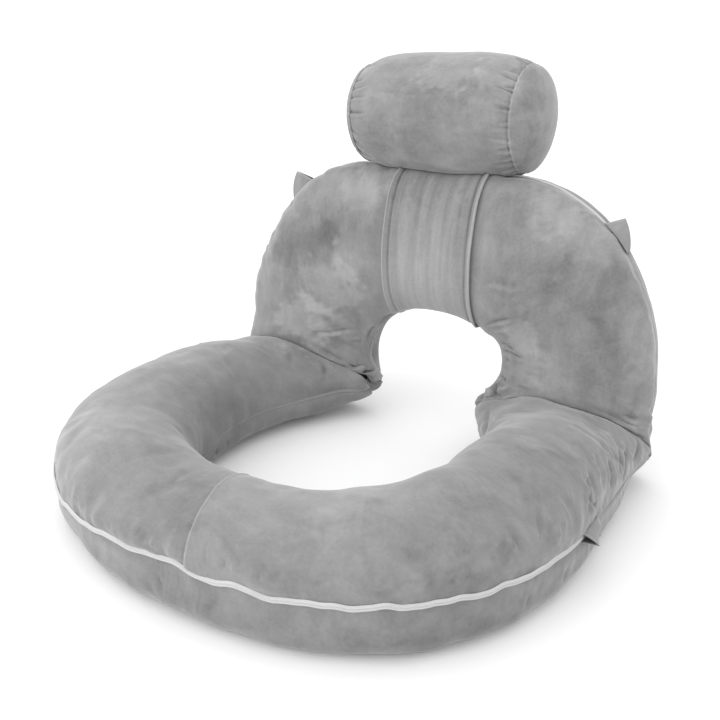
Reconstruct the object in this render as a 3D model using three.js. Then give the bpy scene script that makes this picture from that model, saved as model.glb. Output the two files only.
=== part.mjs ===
// Floor reading pillow: a horseshoe seat cushion that lies flat, a horseshoe back cushion folded up behind
// it, a round head bolster on the crown of the back, the broad strap under the bolster, and a coil zip with
// folded end tabs round the outer edge of each cushion.
// Millimetres and degrees, +Z up, the sitter faces -Y, the origin is on the floor under the pillow's middle.

import * as THREE from 'three';

// Sizes shared by both cushions
const SEAM_HEIGHT = 58; // the seat's seam plane above the floor
const LEAN = 6.7; // the back leans this far behind upright
const TWIST = 2.2; // and is turned this far about the upright axis, as the fold is a little askew
const TWIST_REACH = 250; // how far from the fold the seat's arms take up that turn
const CLEARANCE = 0.4; // between two pieces that touch
const BEND_REACH = 190; // how far from the fold a cushion is turned by it
const SAG_REACH = 260; // how far from the fold its crown sags
const SAG = 0.32; // share of height that the crown loses on its inner side at the fold
const SHARPNESS = 0.29; // and how much sharper its arch gets there
const SHIFT_REACH = 100; // how far from the fold the back's gap and rim move aside
const PUFF = 4.5; // the filling swells this far past the sewn seams
const SEAM_EDGE = 0.14; // section angle where the filling meets the seam, radians
const INNER_LIP = 3; // half-height of the crease at the inner seam

// Each cushion is lofted between two outlines in its seam plane, with the fold at y = 0 and the closed end
// towards -Y. Profile columns: share of the way from the closed end to the fold, crown above the seam plane
// and belly below it. Dent columns: travel from the left fold (-1) to the right one (1), across from the
// inner seam (-1) to the outer one (1), how far it runs along and across in those units, and its depth in
// the crown. Roundness holds the superellipse powers of the section, and bellyRounding eases a square belly
// at the fold. Lifts raise stretches of the outer seam. Tab columns: the end of the zip that it covers, its
// length in travel, its height at the mouth, how far in travel its tip leans from the zip, and its droop.
const SEAT = {
  outer: { halfWidth: 390, reach: 377, arm: 236, endHalfWidth: 377, squareness: 2.44 },
  inner: { halfWidth: 194, reach: 200, arm: 236, endHalfWidth: 108, squareness: 2.9 },
  profile: [
    { share: 0, crown: 77, belly: 62 },
    { share: 0.6, crown: 96, belly: 62 },
    { share: 1, crown: 78, belly: 46 },
  ],
  dents: [
    { travel: 0.9, across: 0.55, along: 0.06, breadth: 0.1, depth: 6 },
    { travel: 0.93, across: 0.85, along: 0.07, breadth: 0.1, depth: 6 },
    { travel: 0.97, across: -0.55, along: 0.03, breadth: 0.25, depth: 6 },
    { travel: -0.97, across: -0.5, along: 0.03, breadth: 0.25, depth: 8 },
    { travel: -0.9, across: 0.7, along: 0.06, breadth: 0.12, depth: 6 },
    { travel: -0.37, across: -0.7, along: 0.03, breadth: 0.25, depth: 5 },
  ],
  roundness: { crown: 2.35, bellyInner: 3, bellyOuter: 4.8 },
  bellyRounding: 0.8,
  floor: -SEAM_HEIGHT,
  innerDrop: 23,
  wellShift: 0,
  rimShift: 0,
  crownDip: 0,
  cinch: 0,
  lifts: [
    { rise: 16, travel: 0.24, spread: 0.4 },
    { rise: 7, travel: 0.03, spread: 0.1 },
    { rise: 18, travel: -0.36, spread: 0.1 },
  ],
  twist: Math.tan(THREE.MathUtils.degToRad(TWIST)),
  stations: 84,
  zipEnds: { from: -0.63, to: 0.63 },
  tabs: [
    { name: 'seat_tab_left', side: -1, length: 0.045, height: 22, lean: 0.004, droop: 9 },
    { name: 'seat_tab_right', side: 1, length: 0.045, height: 22, lean: 0.004, droop: 9 },
  ],
};
const BACK = {
  outer: { halfWidth: 371, reach: 352, arm: 60, endHalfWidth: 377, squareness: 2.32 },
  inner: { halfWidth: 127, reach: 101, arm: 60, endHalfWidth: 108, squareness: 2.2 },
  profile: [
    { share: 0, crown: 67, belly: 62 },
    { share: 0.6, crown: 66, belly: 60 },
    { share: 1, crown: 78, belly: 46 },
  ],
  dents: [
    { travel: -0.8, across: -0.8, along: 0.05, breadth: 0.2, depth: 6 },
    { travel: -0.93, across: -0.7, along: 0.03, breadth: 0.25, depth: 7 },
    { travel: -0.93, across: 0.75, along: 0.03, breadth: 0.2, depth: 6 },
    { travel: 0.72, across: -0.75, along: 0.03, breadth: 0.25, depth: 5 },
    { travel: 0.9, across: -0.7, along: 0.04, breadth: 0.3, depth: 7 },
  ],
  roundness: { crown: 2.35, bellyInner: 2.35, bellyOuter: 2.35 },
  bellyRounding: 0,
  floor: -Infinity,
  innerDrop: 0,
  wellShift: -18,
  rimShift: -9,
  crownDip: 36,
  cinch: 5,
  lifts: [],
  twist: 0,
  stations: 66,
  zipEnds: { from: -0.315, to: 0.285 },
  tabs: [
    { name: 'back_tab_right', side: -1, length: 0.07, height: 26, lean: 0.016, droop: 0 },
    { name: 'back_tab_left', side: 1, length: 0.075, height: 37, lean: 0.01, droop: 0 },
  ],
};
const ARC_SHARE = 0.66; // share of an outline's stations on its curved end, the rest are on its arms
const DIP_SPREAD = 130; // half-breadth of the dip that the bolster presses into the crown

const ZIP = { halfHeight: 4, thickness: 2.6, margin: 1, tuck: 0.02 };
const ZIP_WAVE = { rise: 2.5, waves: 11, fade: 0.1 }; // the zip puckers its seam
const TAB = { shutHeight: 6, taperPower: 1.4, rootGap: 1.2, rootHalf: 6.2, cloth: 1.6, steps: 6 };
const TAB_ARCH = [1, 0.5, 0]; // places across a tab's arch, from its root to its tip
const TAB_ARCH_POWER = 1.45;
const STRAP = { halfWidth: 79, x: -17, thickness: 2, gap: 1.65, columns: 12 };
const CINCH_EDGE = 30; // the back swells again this far past the strap
const BOLSTER = {
  radius: 90,
  rimRadius: 74,
  halfLength: 140,
  endBulge: 23,
  x: -5,
  y: 303,
  z: 527,
  gathers: 16,
  gatherDepth: 3,
  gatherLength: 34,
  endGathers: 0.6,
  seamDepth: 2,
  seamWidth: 2,
  spacing: 0.8,
  taperPower: 3.8,
  endPower: 0.9,
  bodySteps: 6,
  endSteps: 6,
};
const TOP_STEPS = 11; // points across a cushion's crown
const BELLY_STEPS = 9; // and across its belly
const STEPS_PER_GATHER = 4; // points across each gather of the bolster
const TRAVEL_HALVINGS = 40; // search steps for the place where the back passes the strap

const velvet = new THREE.MeshStandardMaterial({ color: 0x9c9b9d, roughness: 0.95, metalness: 0 });
const zipTape = new THREE.MeshStandardMaterial({ color: 0xeef0f2, roughness: 0.6, metalness: 0 });

const { lerp, smoothstep, degToRad } = THREE.MathUtils;
const foldSlope = Math.tan(degToRad(90 - LEAN) / 2); // both cushions end on the plane that halves the fold

// A named mesh from a grid of rings, closed round each ring; the first and last ring are capped.
function loft(name, rings, material) {
  const count = rings[0].length;
  const points = rings.flat();
  const faces = [];
  for (let row = 0; row + 1 < rings.length; row++) {
    for (let column = 0; column < count; column++) {
      const next = (column + 1) % count;
      const a = row * count + column;
      const b = row * count + next;
      faces.push(a, a + count, b, b, a + count, b + count);
    }
  }
  capRing(rings[0], 0, faces, false);
  capRing(rings.at(-1), (rings.length - 1) * count, faces, true);
  const geometry = new THREE.BufferGeometry().setFromPoints(points);
  geometry.setIndex(faces);
  geometry.computeVertexNormals();
  const mesh = new THREE.Mesh(geometry, material);
  mesh.name = name;
  return mesh;
}

// Fills a ring with triangles, flattened on the plane that the ring lies in.
function capRing(ring, offset, faces, reversed) {
  const centre = ring.reduce((sum, point) => sum.add(point), new THREE.Vector3()).divideScalar(ring.length);
  const normal = new THREE.Vector3();
  ring.forEach((point, index) => {
    const next = ring[(index + 1) % ring.length];
    normal.add(point.clone().sub(centre).cross(next.clone().sub(centre)));
  });
  normal.normalize();
  const steep = Math.abs(normal.x) > Math.abs(normal.y);
  const u = new THREE.Vector3(steep ? 0 : 1, steep ? 1 : 0, 0).cross(normal).normalize();
  const v = normal.clone().cross(u);
  const flat = ring.map((point) => new THREE.Vector2(point.dot(u), point.dot(v)));
  for (const [a, b, c] of THREE.ShapeUtils.triangulateShape(flat, [])) {
    faces.push(offset + a, offset + (reversed ? c : b), offset + (reversed ? b : c));
  }
}

// The section of a cushion as ring points: over the crown, round the inner seam, under the belly, then the
// outer seam, whose two lips leave a flat strip for the zip.
function sectionRing({ roundness }) {
  const ring = [];
  const arc = (steps, from, part, innerPower, outerPower) => {
    for (let step = 0; step < steps; step++) {
      const angle = from + lerp(SEAM_EDGE, Math.PI - SEAM_EDGE, step / (steps - 1));
      const power = Math.cos(angle) < 0 ? innerPower : outerPower;
      const across = Math.sign(Math.cos(angle)) * Math.abs(Math.cos(angle)) ** (2 / power);
      const rise = Math.abs(Math.sin(angle)) ** (2 / power);
      ring.push({ across, rise, part, lip: 0 });
    }
  };
  arc(TOP_STEPS, 0, 'crown', roundness.crown, roundness.crown);
  ring.push({ across: -1, rise: 0, part: 'seam', lip: INNER_LIP });
  ring.push({ across: -1, rise: 0, part: 'seam', lip: -INNER_LIP });
  arc(BELLY_STEPS, Math.PI, 'belly', roundness.bellyInner, roundness.bellyOuter);
  ring.push({ across: 1, rise: 0, part: 'seam', lip: -ZIP.halfHeight - ZIP.margin });
  ring.push({ across: 1, rise: 0, part: 'seam', lip: ZIP.halfHeight + ZIP.margin });
  return ring;
}

// A horseshoe outline: a superellipse from its closed end (share 0) to its widest line, then an arm.
function outlinePoint(outline, share) {
  if (share < ARC_SHARE) {
    const angle = (share / ARC_SHARE) * (Math.PI / 2);
    const power = 2 / outline.squareness;
    const y = -outline.arm - outline.reach * Math.cos(angle) ** power;
    return new THREE.Vector2(outline.halfWidth * Math.sin(angle) ** power, y);
  }
  const along = (share - ARC_SHARE) / (1 - ARC_SHARE);
  const x = lerp(outline.halfWidth, outline.endHalfWidth, along ** 2);
  return new THREE.Vector2(x, -outline.arm * (1 - along));
}

function profileAt(profile, share) {
  const last = profile.findIndex((row) => row.share >= share);
  if (last <= 0) return profile[0];
  const low = profile[last - 1];
  const high = profile[last];
  const blend = smoothstep(share, low.share, high.share);
  return { crown: lerp(low.crown, high.crown, blend), belly: lerp(low.belly, high.belly, blend) };
}

// A point of a cushion: travel runs from -1 at its left fold to 1 at its right one, and out moves the point
// away from the outer seam.
function cushionPoint(cushion, travel, spot, out = 0) {
  const share = Math.abs(travel);
  const side = travel < 0 ? -1 : 1;
  const outer = outlinePoint(cushion.outer, share);
  const inner = outlinePoint(cushion.inner, share);
  outer.y += cushion.crownDip * Math.exp(-((outer.x / DIP_SPREAD) ** 2));
  const half = outer.distanceTo(inner) / 2;
  const swell = spot.part === 'seam' ? 0 : PUFF;
  const across = spot.across * (1 + swell / half) + out / half;
  const place = outer.clone().add(inner).divideScalar(2);
  place.addScaledVector(outer.clone().sub(inner), across / 2);
  const aside = lerp(cushion.wellShift, cushion.rimShift, (1 + spot.across) / 2);
  const x = side * place.x + aside * smoothstep(-place.y, 0, SHIFT_REACH);

  const sagging = 1 - smoothstep(-place.y, 0, SAG_REACH);
  const height = archHeight(cushion, travel, spot, x, sagging);
  const drop = cushion.innerDrop * (1 - sagging) * Math.max(-spot.across, 0);
  const offset = seamLift(cushion, travel) * Math.max(spot.across, 0) - drop;
  const z = Math.max(cushion.floor, spot.rise * height + spot.lip + offset * (1 - spot.rise));
  const bend = 1 - smoothstep(-place.y, 0, BEND_REACH);
  const turn = cushion.twist * x * (1 - smoothstep(-place.y, 0, TWIST_REACH));
  return new THREE.Vector3(x, place.y - CLEARANCE - foldSlope * z * bend + turn, z);
}

// Height of the section's arch above or below its seams: the strap presses it in, and at the fold the crown
// sags on its inner side and the belly eases.
function archHeight(cushion, travel, spot, x, sagging) {
  const { crown, belly } = profileAt(cushion.profile, Math.abs(travel));
  const pastStrap = Math.abs(x - STRAP.x) - STRAP.halfWidth;
  const pressed = cushion.cinch * (1 - smoothstep(pastStrap, 0, CINCH_EDGE));
  if (spot.part === 'belly') return (pressed - belly) * spot.rise ** (cushion.bellyRounding * sagging);
  const sunk = 1 + SAG * Math.min(spot.across, 0) * sagging;
  const arch = (crown - pressed) * sunk * spot.rise ** (SHARPNESS * sagging);
  return arch - dentDepth(cushion.dents, travel, spot.across);
}

function dentDepth(dents, travel, across) {
  return dents.reduce((sum, dent) => {
    const along = (travel - dent.travel) / dent.along;
    const aside = (across - dent.across) / dent.breadth;
    return sum + dent.depth * Math.exp(-(along ** 2) - aside ** 2);
  }, 0);
}

// How far the outer seam stands above the seam plane: its lifts, and the puckers of the zip.
function seamLift({ lifts, zipEnds }, travel) {
  const broad = lifts.reduce((sum, lift) => {
    return sum + lift.rise * Math.exp(-(((travel - lift.travel) / lift.spread) ** 2));
  }, 0);
  const fromEnd = Math.min(travel - zipEnds.from, zipEnds.to - travel);
  const zipped = smoothstep(fromEnd, 0, ZIP_WAVE.fade);
  return broad + ZIP_WAVE.rise * Math.sin(travel * ZIP_WAVE.waves * 2 * Math.PI) * zipped;
}

function cushionMesh(name, cushion) {
  const ring = sectionRing(cushion);
  const rings = [];
  for (let station = 0; station <= cushion.stations; station++) {
    const travel = lerp(-1, 1, station / cushion.stations);
    rings.push(ring.map((spot) => cushionPoint(cushion, travel, spot)));
  }
  return loft(name, rings, velvet);
}

// The zip lies on the flat strip of the outer seam, between the tabs.
function zipMesh(name, cushion) {
  const section = [
    { lip: ZIP.halfHeight, out: CLEARANCE },
    { lip: -ZIP.halfHeight, out: CLEARANCE },
    { lip: -ZIP.halfHeight, out: CLEARANCE + ZIP.thickness / 2 },
    { lip: 0, out: CLEARANCE + ZIP.thickness },
    { lip: ZIP.halfHeight, out: CLEARANCE + ZIP.thickness / 2 },
  ];
  const rings = [];
  for (let station = 0; station <= cushion.stations; station++) {
    const travel = lerp(-1, 1, station / cushion.stations);
    if (travel < cushion.zipEnds.from - ZIP.tuck || travel > cushion.zipEnds.to + ZIP.tuck) continue;
    rings.push(section.map(({ lip, out }) => seamPoint(cushion, travel, lip, out)));
  }
  return loft(name, rings, zipTape);
}

function seamPoint(cushion, travel, lip, out) {
  return cushionPoint(cushion, travel, { across: 1, rise: 0, part: 'seam', lip }, out);
}

// A tab is a cloth hood folded over the end of the zip: open and tall towards the zip, low at its other end.
function tabMesh(tab, cushion) {
  const rings = [];
  const start = tab.side < 0 ? cushion.zipEnds.from : cushion.zipEnds.to;
  for (let step = 0; step <= TAB.steps; step++) {
    const along = step / TAB.steps;
    const root = start + tab.side * tab.length * along;
    const height = lerp(tab.height, TAB.shutHeight, along ** TAB.taperPower);
    const ring = tabSection(height).map(({ lip, out }) => {
      const share = out / tab.height;
      return seamPoint(cushion, root + tab.side * tab.lean * share, lip - tab.droop * share ** 2, out);
    });
    rings.push(tab.side > 0 ? ring.reverse() : ring);
  }
  return loft(tab.name, rings, velvet);
}

// The cloth's outer face from its upper root over the tip to the lower one, then its inner face back again.
function tabSection(height) {
  const point = (half, reach, place) => {
    const arch = 1 - Math.abs(place) ** TAB_ARCH_POWER;
    return { lip: half * place, out: lerp(TAB.rootGap, reach, arch) };
  };
  const innerHalf = TAB.rootHalf - TAB.cloth;
  const innerReach = height - 2 * TAB.cloth;
  const upper = TAB_ARCH.map((place) => point(TAB.rootHalf, height, place));
  const lower = TAB_ARCH.slice(0, -1).map((place) => point(TAB.rootHalf, height, -place));
  const innerLower = TAB_ARCH.map((place) => point(innerHalf, innerReach, -place));
  const innerUpper = TAB_ARCH.slice(0, -1).map((place) => point(innerHalf, innerReach, place));
  return [...upper, ...lower.reverse(), ...innerLower, ...innerUpper.reverse()];
}

// The travel at which a ring point of the back passes a given x.
function travelAtX(spot, x) {
  let low = -ARC_SHARE;
  let high = ARC_SHARE;
  for (let halving = 0; halving < TRAVEL_HALVINGS; halving++) {
    const middle = (low + high) / 2;
    if (cushionPoint(BACK, middle, spot).x < x) low = middle;
    else high = middle;
  }
  return (low + high) / 2;
}

// The strap is a closed loop of cloth round the crown of the back, stretched straight over the seams.
function strapMesh(name) {
  const spots = sectionRing(BACK).filter((spot) => spot.part !== 'seam');
  const rows = [];
  for (let column = 0; column <= STRAP.columns; column++) {
    const x = lerp(-STRAP.halfWidth, STRAP.halfWidth, column / STRAP.columns) + STRAP.x;
    const loop = spots.map((spot) => cushionPoint(BACK, travelAtX(spot, x), spot));
    const outside = offsetLoop(loop, STRAP.gap + STRAP.thickness);
    rows.push({ inside: offsetLoop(loop, STRAP.gap), outside });
  }
  const count = spots.length;
  const points = [];
  for (const row of rows) points.push(...row.inside, ...row.outside);
  const faces = [];
  const quad = (a, b, c, d) => faces.push(a, c, b, a, d, c);
  for (let index = 0; index < count; index++) {
    const next = (index + 1) % count;
    for (let column = 0; column < STRAP.columns; column++) {
      const near = column * 2 * count;
      const far = near + 2 * count;
      quad(near + count + index, near + count + next, far + count + next, far + count + index);
      quad(near + next, near + index, far + index, far + next);
    }
    const last = STRAP.columns * 2 * count;
    quad(index, next, count + next, count + index);
    quad(last + next, last + index, last + count + index, last + count + next);
  }
  const geometry = new THREE.BufferGeometry().setFromPoints(points);
  geometry.setIndex(faces);
  geometry.computeVertexNormals();
  const mesh = new THREE.Mesh(geometry, velvet);
  mesh.name = name;
  return mesh;
}

// Moves each point of a loop in a plane of constant x outwards.
function offsetLoop(loop, distance) {
  return loop.map((point, index) => {
    const before = loop.at(index - 1);
    const after = loop[(index + 1) % loop.length];
    const normal = new THREE.Vector3(0, after.z - before.z, before.y - after.y).normalize();
    return point.clone().addScaledVector(normal, -distance);
  });
}

// Radius and place along the bolster's axis, from the middle of one end to the middle of the other.
function bolsterProfile() {
  const { radius, rimRadius, halfLength, bodySteps, endSteps } = BOLSTER;
  const half = [];
  for (let step = 0; step <= bodySteps; step++) {
    const share = Math.sin((step / bodySteps) * (Math.PI / 2)) ** BOLSTER.spacing;
    const swell = lerp(radius, rimRadius, share ** BOLSTER.taperPower);
    half.push({ along: halfLength * share, radius: swell, gathered: 1 });
  }
  const pastSeam = halfLength + BOLSTER.seamWidth;
  half.push({ along: pastSeam, radius: rimRadius - BOLSTER.seamDepth, gathered: 1 });
  for (let step = 1; step < endSteps; step++) {
    const angle = (step / endSteps) * (Math.PI / 2);
    const domed = rimRadius * Math.cos(angle) ** BOLSTER.endPower;
    const along = pastSeam + BOLSTER.endBulge * Math.sin(angle);
    half.push({ along, radius: domed, gathered: BOLSTER.endGathers });
  }
  const mirrored = half.slice(1).reverse();
  return [...mirrored.map((row) => ({ ...row, along: -row.along })), ...half];
}

function bolsterMesh(name, baseHeight) {
  const sides = BOLSTER.gathers * STEPS_PER_GATHER;
  const rings = bolsterProfile().map((row) => {
    const ring = [];
    for (let side = 0; side < sides; side++) {
      const angle = (-side / sides) * 2 * Math.PI;
      const fromRim = Math.abs(Math.abs(row.along) - BOLSTER.halfLength);
      const fade = Math.exp(-((fromRim / BOLSTER.gatherLength) ** 2));
      const pleat = BOLSTER.gatherDepth * Math.cos(angle * BOLSTER.gathers) * fade;
      const radius = row.radius + pleat * row.gathered;
      const z = Math.max(baseHeight - BOLSTER.z, radius * Math.sin(angle));
      ring.push(new THREE.Vector3(row.along, radius * Math.cos(angle), z));
    }
    return ring;
  });
  const mesh = loft(name, rings, velvet);
  mesh.position.set(BOLSTER.x, BOLSTER.y, BOLSTER.z);
  return mesh;
}

// The seat lies on the floor. The back is made flat as the seat is, turned about and folded up on its end.
const seat = new THREE.Group();
seat.position.set(0, SEAT.outer.arm, SEAM_HEIGHT);
seat.add(cushionMesh('seat_cushion', SEAT));
seat.add(zipMesh('seat_zip', SEAT));
seat.add(...SEAT.tabs.map((tab) => tabMesh(tab, SEAT)));

const back = new THREE.Group();
back.rotation.z = Math.PI;
back.add(cushionMesh('back_cushion', BACK));
back.add(zipMesh('back_zip', BACK));
back.add(...BACK.tabs.map((tab) => tabMesh(tab, BACK)));
const strap = strapMesh('head_strap');
back.add(strap);
const fold = new THREE.Group();
fold.position.set(0, SEAT.outer.arm, SEAM_HEIGHT);
fold.rotation.set(degToRad(90 - LEAN), 0, degToRad(TWIST), 'ZYX');
fold.add(back);

const pillow = new THREE.Group();
pillow.add(seat, fold);
pillow.updateMatrixWorld(true);
const strapTop = new THREE.Box3().setFromObject(strap, true).max.z;
pillow.add(bolsterMesh('head_bolster', strapTop + CLEARANCE));

const middle = new THREE.Box3().setFromObject(pillow, true).getCenter(new THREE.Vector3());
pillow.children.forEach((child) => {
  child.position.y -= middle.y;
});

export default pillow;
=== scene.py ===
"""Looks of the floor reading pillow: velvet covers with seams, puckers and creases, zips, tabs and strap.

Sizes are millimetres, and meshes are written in metres. A place on a cushion is given as travel, from -1 at
its left fold to 1 at its right one, and across, from -1 at its inner seam to 1 at its outer one, both in the
cushion's own flat frame. The back is turned about, so its travel runs from right to left in the picture.
"""

import math
from types import SimpleNamespace as Values

import bpy
import numpy as np
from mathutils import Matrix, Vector
from mathutils.bvhtree import BVHTree


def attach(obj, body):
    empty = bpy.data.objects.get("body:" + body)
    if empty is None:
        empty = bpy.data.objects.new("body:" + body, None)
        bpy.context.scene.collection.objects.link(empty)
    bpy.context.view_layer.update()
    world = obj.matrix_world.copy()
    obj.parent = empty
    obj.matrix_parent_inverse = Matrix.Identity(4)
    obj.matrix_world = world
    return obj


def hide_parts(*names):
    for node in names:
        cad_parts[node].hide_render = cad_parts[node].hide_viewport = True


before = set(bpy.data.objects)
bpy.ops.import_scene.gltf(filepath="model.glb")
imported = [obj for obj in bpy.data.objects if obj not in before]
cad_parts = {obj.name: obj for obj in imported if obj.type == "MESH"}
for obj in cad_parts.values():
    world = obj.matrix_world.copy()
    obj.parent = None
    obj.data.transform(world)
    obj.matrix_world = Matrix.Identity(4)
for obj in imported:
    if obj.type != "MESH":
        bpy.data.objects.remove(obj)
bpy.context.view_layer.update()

MM = 0.001
TURN = 2 * math.pi


def table(columns, *rows, **shared):
    """Rows with named columns, and the values that every row shares."""
    return [Values(**shared, **dict(zip(columns.split(), row))) for row in rows]


def humps(*rows):
    """Smooth humps along a line: how far each one rises, where it stands, and its spread."""
    return table("rise at spread", *rows)


# Sizes of the solids, which the covers follow
SEAM_HEIGHT = 58
FOLD_Y = 230.3
LEAN = math.radians(6.7)
FOLD_ANGLE = math.pi / 2 - LEAN
FOLD_SLOPE = math.tan(FOLD_ANGLE / 2)
TWIST = math.radians(2.2)
TWIST_REACH = 250
CLEARANCE = 0.4
BEND_REACH = 190
SAG_REACH = 260
SAG = 0.32
SHARPNESS = 0.29
SHIFT_REACH = 100
PUFF = 4.5
ARC_SHARE = 0.66
DIP_SPREAD = 130
CINCH_EDGE = 30

# The powers of a section are those of its inner half and its outer one
SEAT = Values(
    outer=Values(half_width=390, reach=377, arm=236, end_half_width=377, squareness=2.44),
    inner=Values(half_width=194, reach=200, arm=236, end_half_width=108, squareness=2.9),
    profile=table("share crown belly", (0, 77, 62), (0.6, 96, 62), (1, 78, 46)),
    dents=table(
        "travel across along breadth depth",
        (0.9, 0.55, 0.06, 0.1, 6),
        (0.93, 0.85, 0.07, 0.1, 6),
        (0.97, -0.55, 0.03, 0.25, 6),
        (-0.97, -0.5, 0.03, 0.25, 8),
        (-0.9, 0.7, 0.06, 0.12, 6),
        (-0.37, -0.7, 0.03, 0.25, 5),
        (-1, 0.25, 0.07, 0.75, -8),
        (1, 0.2, 0.05, 0.75, -3),
    ),
    crown_powers=(2.35, 2.35), belly_powers=(3, 4.8), belly_rounding=0.8, floor=-SEAM_HEIGHT, inner_drop=23,
    well_shift=0, rim_shift=0, crown_dip=0, cinch=0, twist=math.tan(TWIST),
    lifts=humps(
        (16, 0.24, 0.4), (7, 0.03, 0.1), (18, -0.36, 0.1),
        (3.5, 0.025, 0.018), (-3, 0.063, 0.026), (2.5, 0.1, 0.022), (-2, 0.13, 0.02),
    ),
    inner_lifts=humps((20, -0.66, 0.14), (7, -1, 0.05), (-10, 1, 0.1)),
    bulges=humps((4, -0.31, 0.14), (12, 1, 0.07)),
    scoops=[],
    taut=humps((1.6, -0.19, 0.06), (0.9, -0.3, 0.08)),
    pucker_share=1.0, belly_share=0.65, stroke_lift=0.09, zip_from=-0.63, zip_to=0.63,
    stations=570, crown_steps=118, belly_steps=46,
)
BACK = Values(
    outer=Values(half_width=371, reach=352, arm=60, end_half_width=377, squareness=2.32),
    inner=Values(half_width=127, reach=101, arm=60, end_half_width=108, squareness=2.2),
    profile=table("share crown belly", (0, 67, 62), (0.6, 66, 60), (1, 70, 46)),
    dents=table(
        "travel across along breadth depth",
        (-0.8, -0.8, 0.05, 0.2, 6),
        (-0.93, -0.7, 0.03, 0.25, 7),
        (-0.93, 0.75, 0.03, 0.2, 6),
        (0.72, -0.75, 0.03, 0.25, 5),
        (0.9, -0.7, 0.04, 0.3, 7),
    ),
    crown_powers=(2.35, 2.35), belly_powers=(2.35, 2.35), belly_rounding=0, floor=-math.inf, inner_drop=0,
    well_shift=-18, rim_shift=-9, crown_dip=36, cinch=5, twist=0,
    lifts=humps((14, 0.13, 0.06)),
    inner_lifts=[],
    bulges=humps((12, -1, 0.2), (5, -0.76, 0.07), (-8, 1, 0.14), (9, 0.3, 0.2), (-3, -0.25, 0.12)),
    scoops=humps((8, -0.42, 0.1)),
    taut=humps((2.6, 0.13, 0.06)),
    pucker_share=0.25, belly_share=0.35, stroke_lift=0.05, zip_from=-0.315, zip_to=0.285,
    stations=500, crown_steps=118, belly_steps=46,
)
# Tabs over the ends of the zips. Their tone paints the outer face lighter, a painted light where the hood
# faces up
SEAT_TABS = table(
    "node side",
    ("seat_tab_left", -1),
    ("seat_tab_right", 1),
    length=0.045, height=22, lean=0.004, droop=5, taper=0.8, tone=0.6,
)
BACK_TABS = table(
    "node side length height lean",
    ("back_tab_right", -1, 0.07, 26, 0.016),
    ("back_tab_left", 1, 0.075, 37, 0.028),
    droop=0, taper=1.4, tone=0.2,
)
TAB = Values(shut=3.5, root_gap=1.2, root_half=6.2, cloth=1.6, arch=1.45)
TAB_HEM = Values(rise=0.7, spread=0.1, lift=1.2, inside=-2.2)  # a turned-in mouth with a painted highlight on its hem, and painted shade inside
TAB_STEPS = Values(along=30, around=25)
ZIP = Values(half=4, tuck=0.02, step=1.1, back=0.1, edge=0.6, rise=2.0, steps_for_length=400)
ZIP_COIL = Values(at=1.75, spread=1.25, rib=0.35, pitch=2.2, columns=17)
ZIP_WAVES = table("rise waves phase", (1.3, 11, 0), (0.7, 17.3, 1.1), (0.4, 29.7, 2.3))
ZIP_FADE = 0.1
STRAP = Values(half_width=79, x=-17, gap=1.2, thickness=2, seam_angle=0.14)
STRAP_STEPS = Values(along=260, across=100, halvings=40)
STRAP_HEM = Values(width=10, turn=1, rise=1.0, edge=1.1, edge_width=0.8, inner_edge=0.3, fade=42)
STRAP_EDGE_LIFT = Values(left_rise=2.4, right_rise=3.6, width=7, unevenness=0.5, pitch=120, seed=31)
STRAP_GROOVE = humps((2.2, 10, 1.8))  # at a distance from the strap's edge, like the two below
STRAP_BEAD = humps((2.4, 2.2, 1.7))
STRAP_EDGE_HIGHLIGHT_AND_GROOVE_SHADE = humps((3.2, 0.8, 1.4), (-1.4, 10, 1.8))  # painted highlight along its edge and painted shade in its groove
BOLSTER = Values(
    radius=93, rim=75, half_length=140, x=-5, y=297.3, z=527, spacing=0.8, taper=4.3, end_power=1.1,
    seam_width=2, calm_within=30, lower_stretch=1.11, rest_gap=0.8, rest_ease=2.5,
)
BOLSTER_STEPS = Values(around=400, body=82, end=26)
BOLSTER_LUMPS = table("size rise seed", (130, 0.35, 77), (50, 0.3, 78))
RIMS = table(
    "side bulge gathers depth length width seed",
    (-1, 25, 24, 5.4, 36, 2.2, 5),
    (1, 32, 38, 5.0, 24, 2.0, 9),
)
RIM_SEAM = humps((2.3, -1.0, 1.3), (-1.0, 2.0, 1.2))  # at a distance inside the rim
# Pleats at the rims: how their places, depths, lengths and slants vary, and how they die out
PLEAT = Values(
    shifts=(-0.35, 0.35), depths=(0.4, 1.3), lengths=(0.5, 1.4), slants=(-0.08, 0.08),
    full_to=0.45, gone_at=1.1, end_depth=0.3, end_length=0.25, ridge_at=2,
)

# How the covers are sewn and crumpled
FINE_STEPS = 4001  # points of a line that is measured
SECTION_CROWDING = 0.4  # points crowd towards the seams
SWELL_ANGLE = 0.35  # section angle over which a cover swells out of its seam, radians
LIP = Values(height=2.8, unevenness=0.8, pitch=45, belly_seed=71, crown_seed=72, shut=0.25, fade=4)
INNER_LIP = 1.0
INNER_WELT = 2.2  # the inner seam stands up as a fine line
OUTER_SINK = 1.5  # and the outer one lies a little deeper
FOLD_ROLL = Values(radius=2.2, unevenness=0.3, pitch=55)  # how a cover rolls into the fold
FOLD_CROWDS = humps((2.5, -1, 0.014), (2.5, 1, 0.014))  # stations crowd towards the folds
SEAT_CROWDS = humps((2.5, 0.028, 0.035), (0.5, 0.75, 0.25))  # and to its front seam and right flank
FRONT_SEAM = Values(
    near_drop=1.5, far_rise=1.7, reach=20, step=0.7, welt=1.2, welt_width=1.5, full_from=-0.4,
)
FRONT_SEAM_TONE = Values(near=-0.25, far=0.45, reach=45)  # the panels beside it are brushed two ways
FRONT_SEAM_PATH = Values(
    across=[-1.0, -0.41, 0.0, 0.36, 0.78, 1.0],
    travel=[0.012, 0.018, 0.021, 0.029, 0.037, 0.043],
)
SEAM_LINE = Values(lift=1.3, width=1.4)  # the pile lies open along a seam, and a painted highlight lies on the seam
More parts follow.
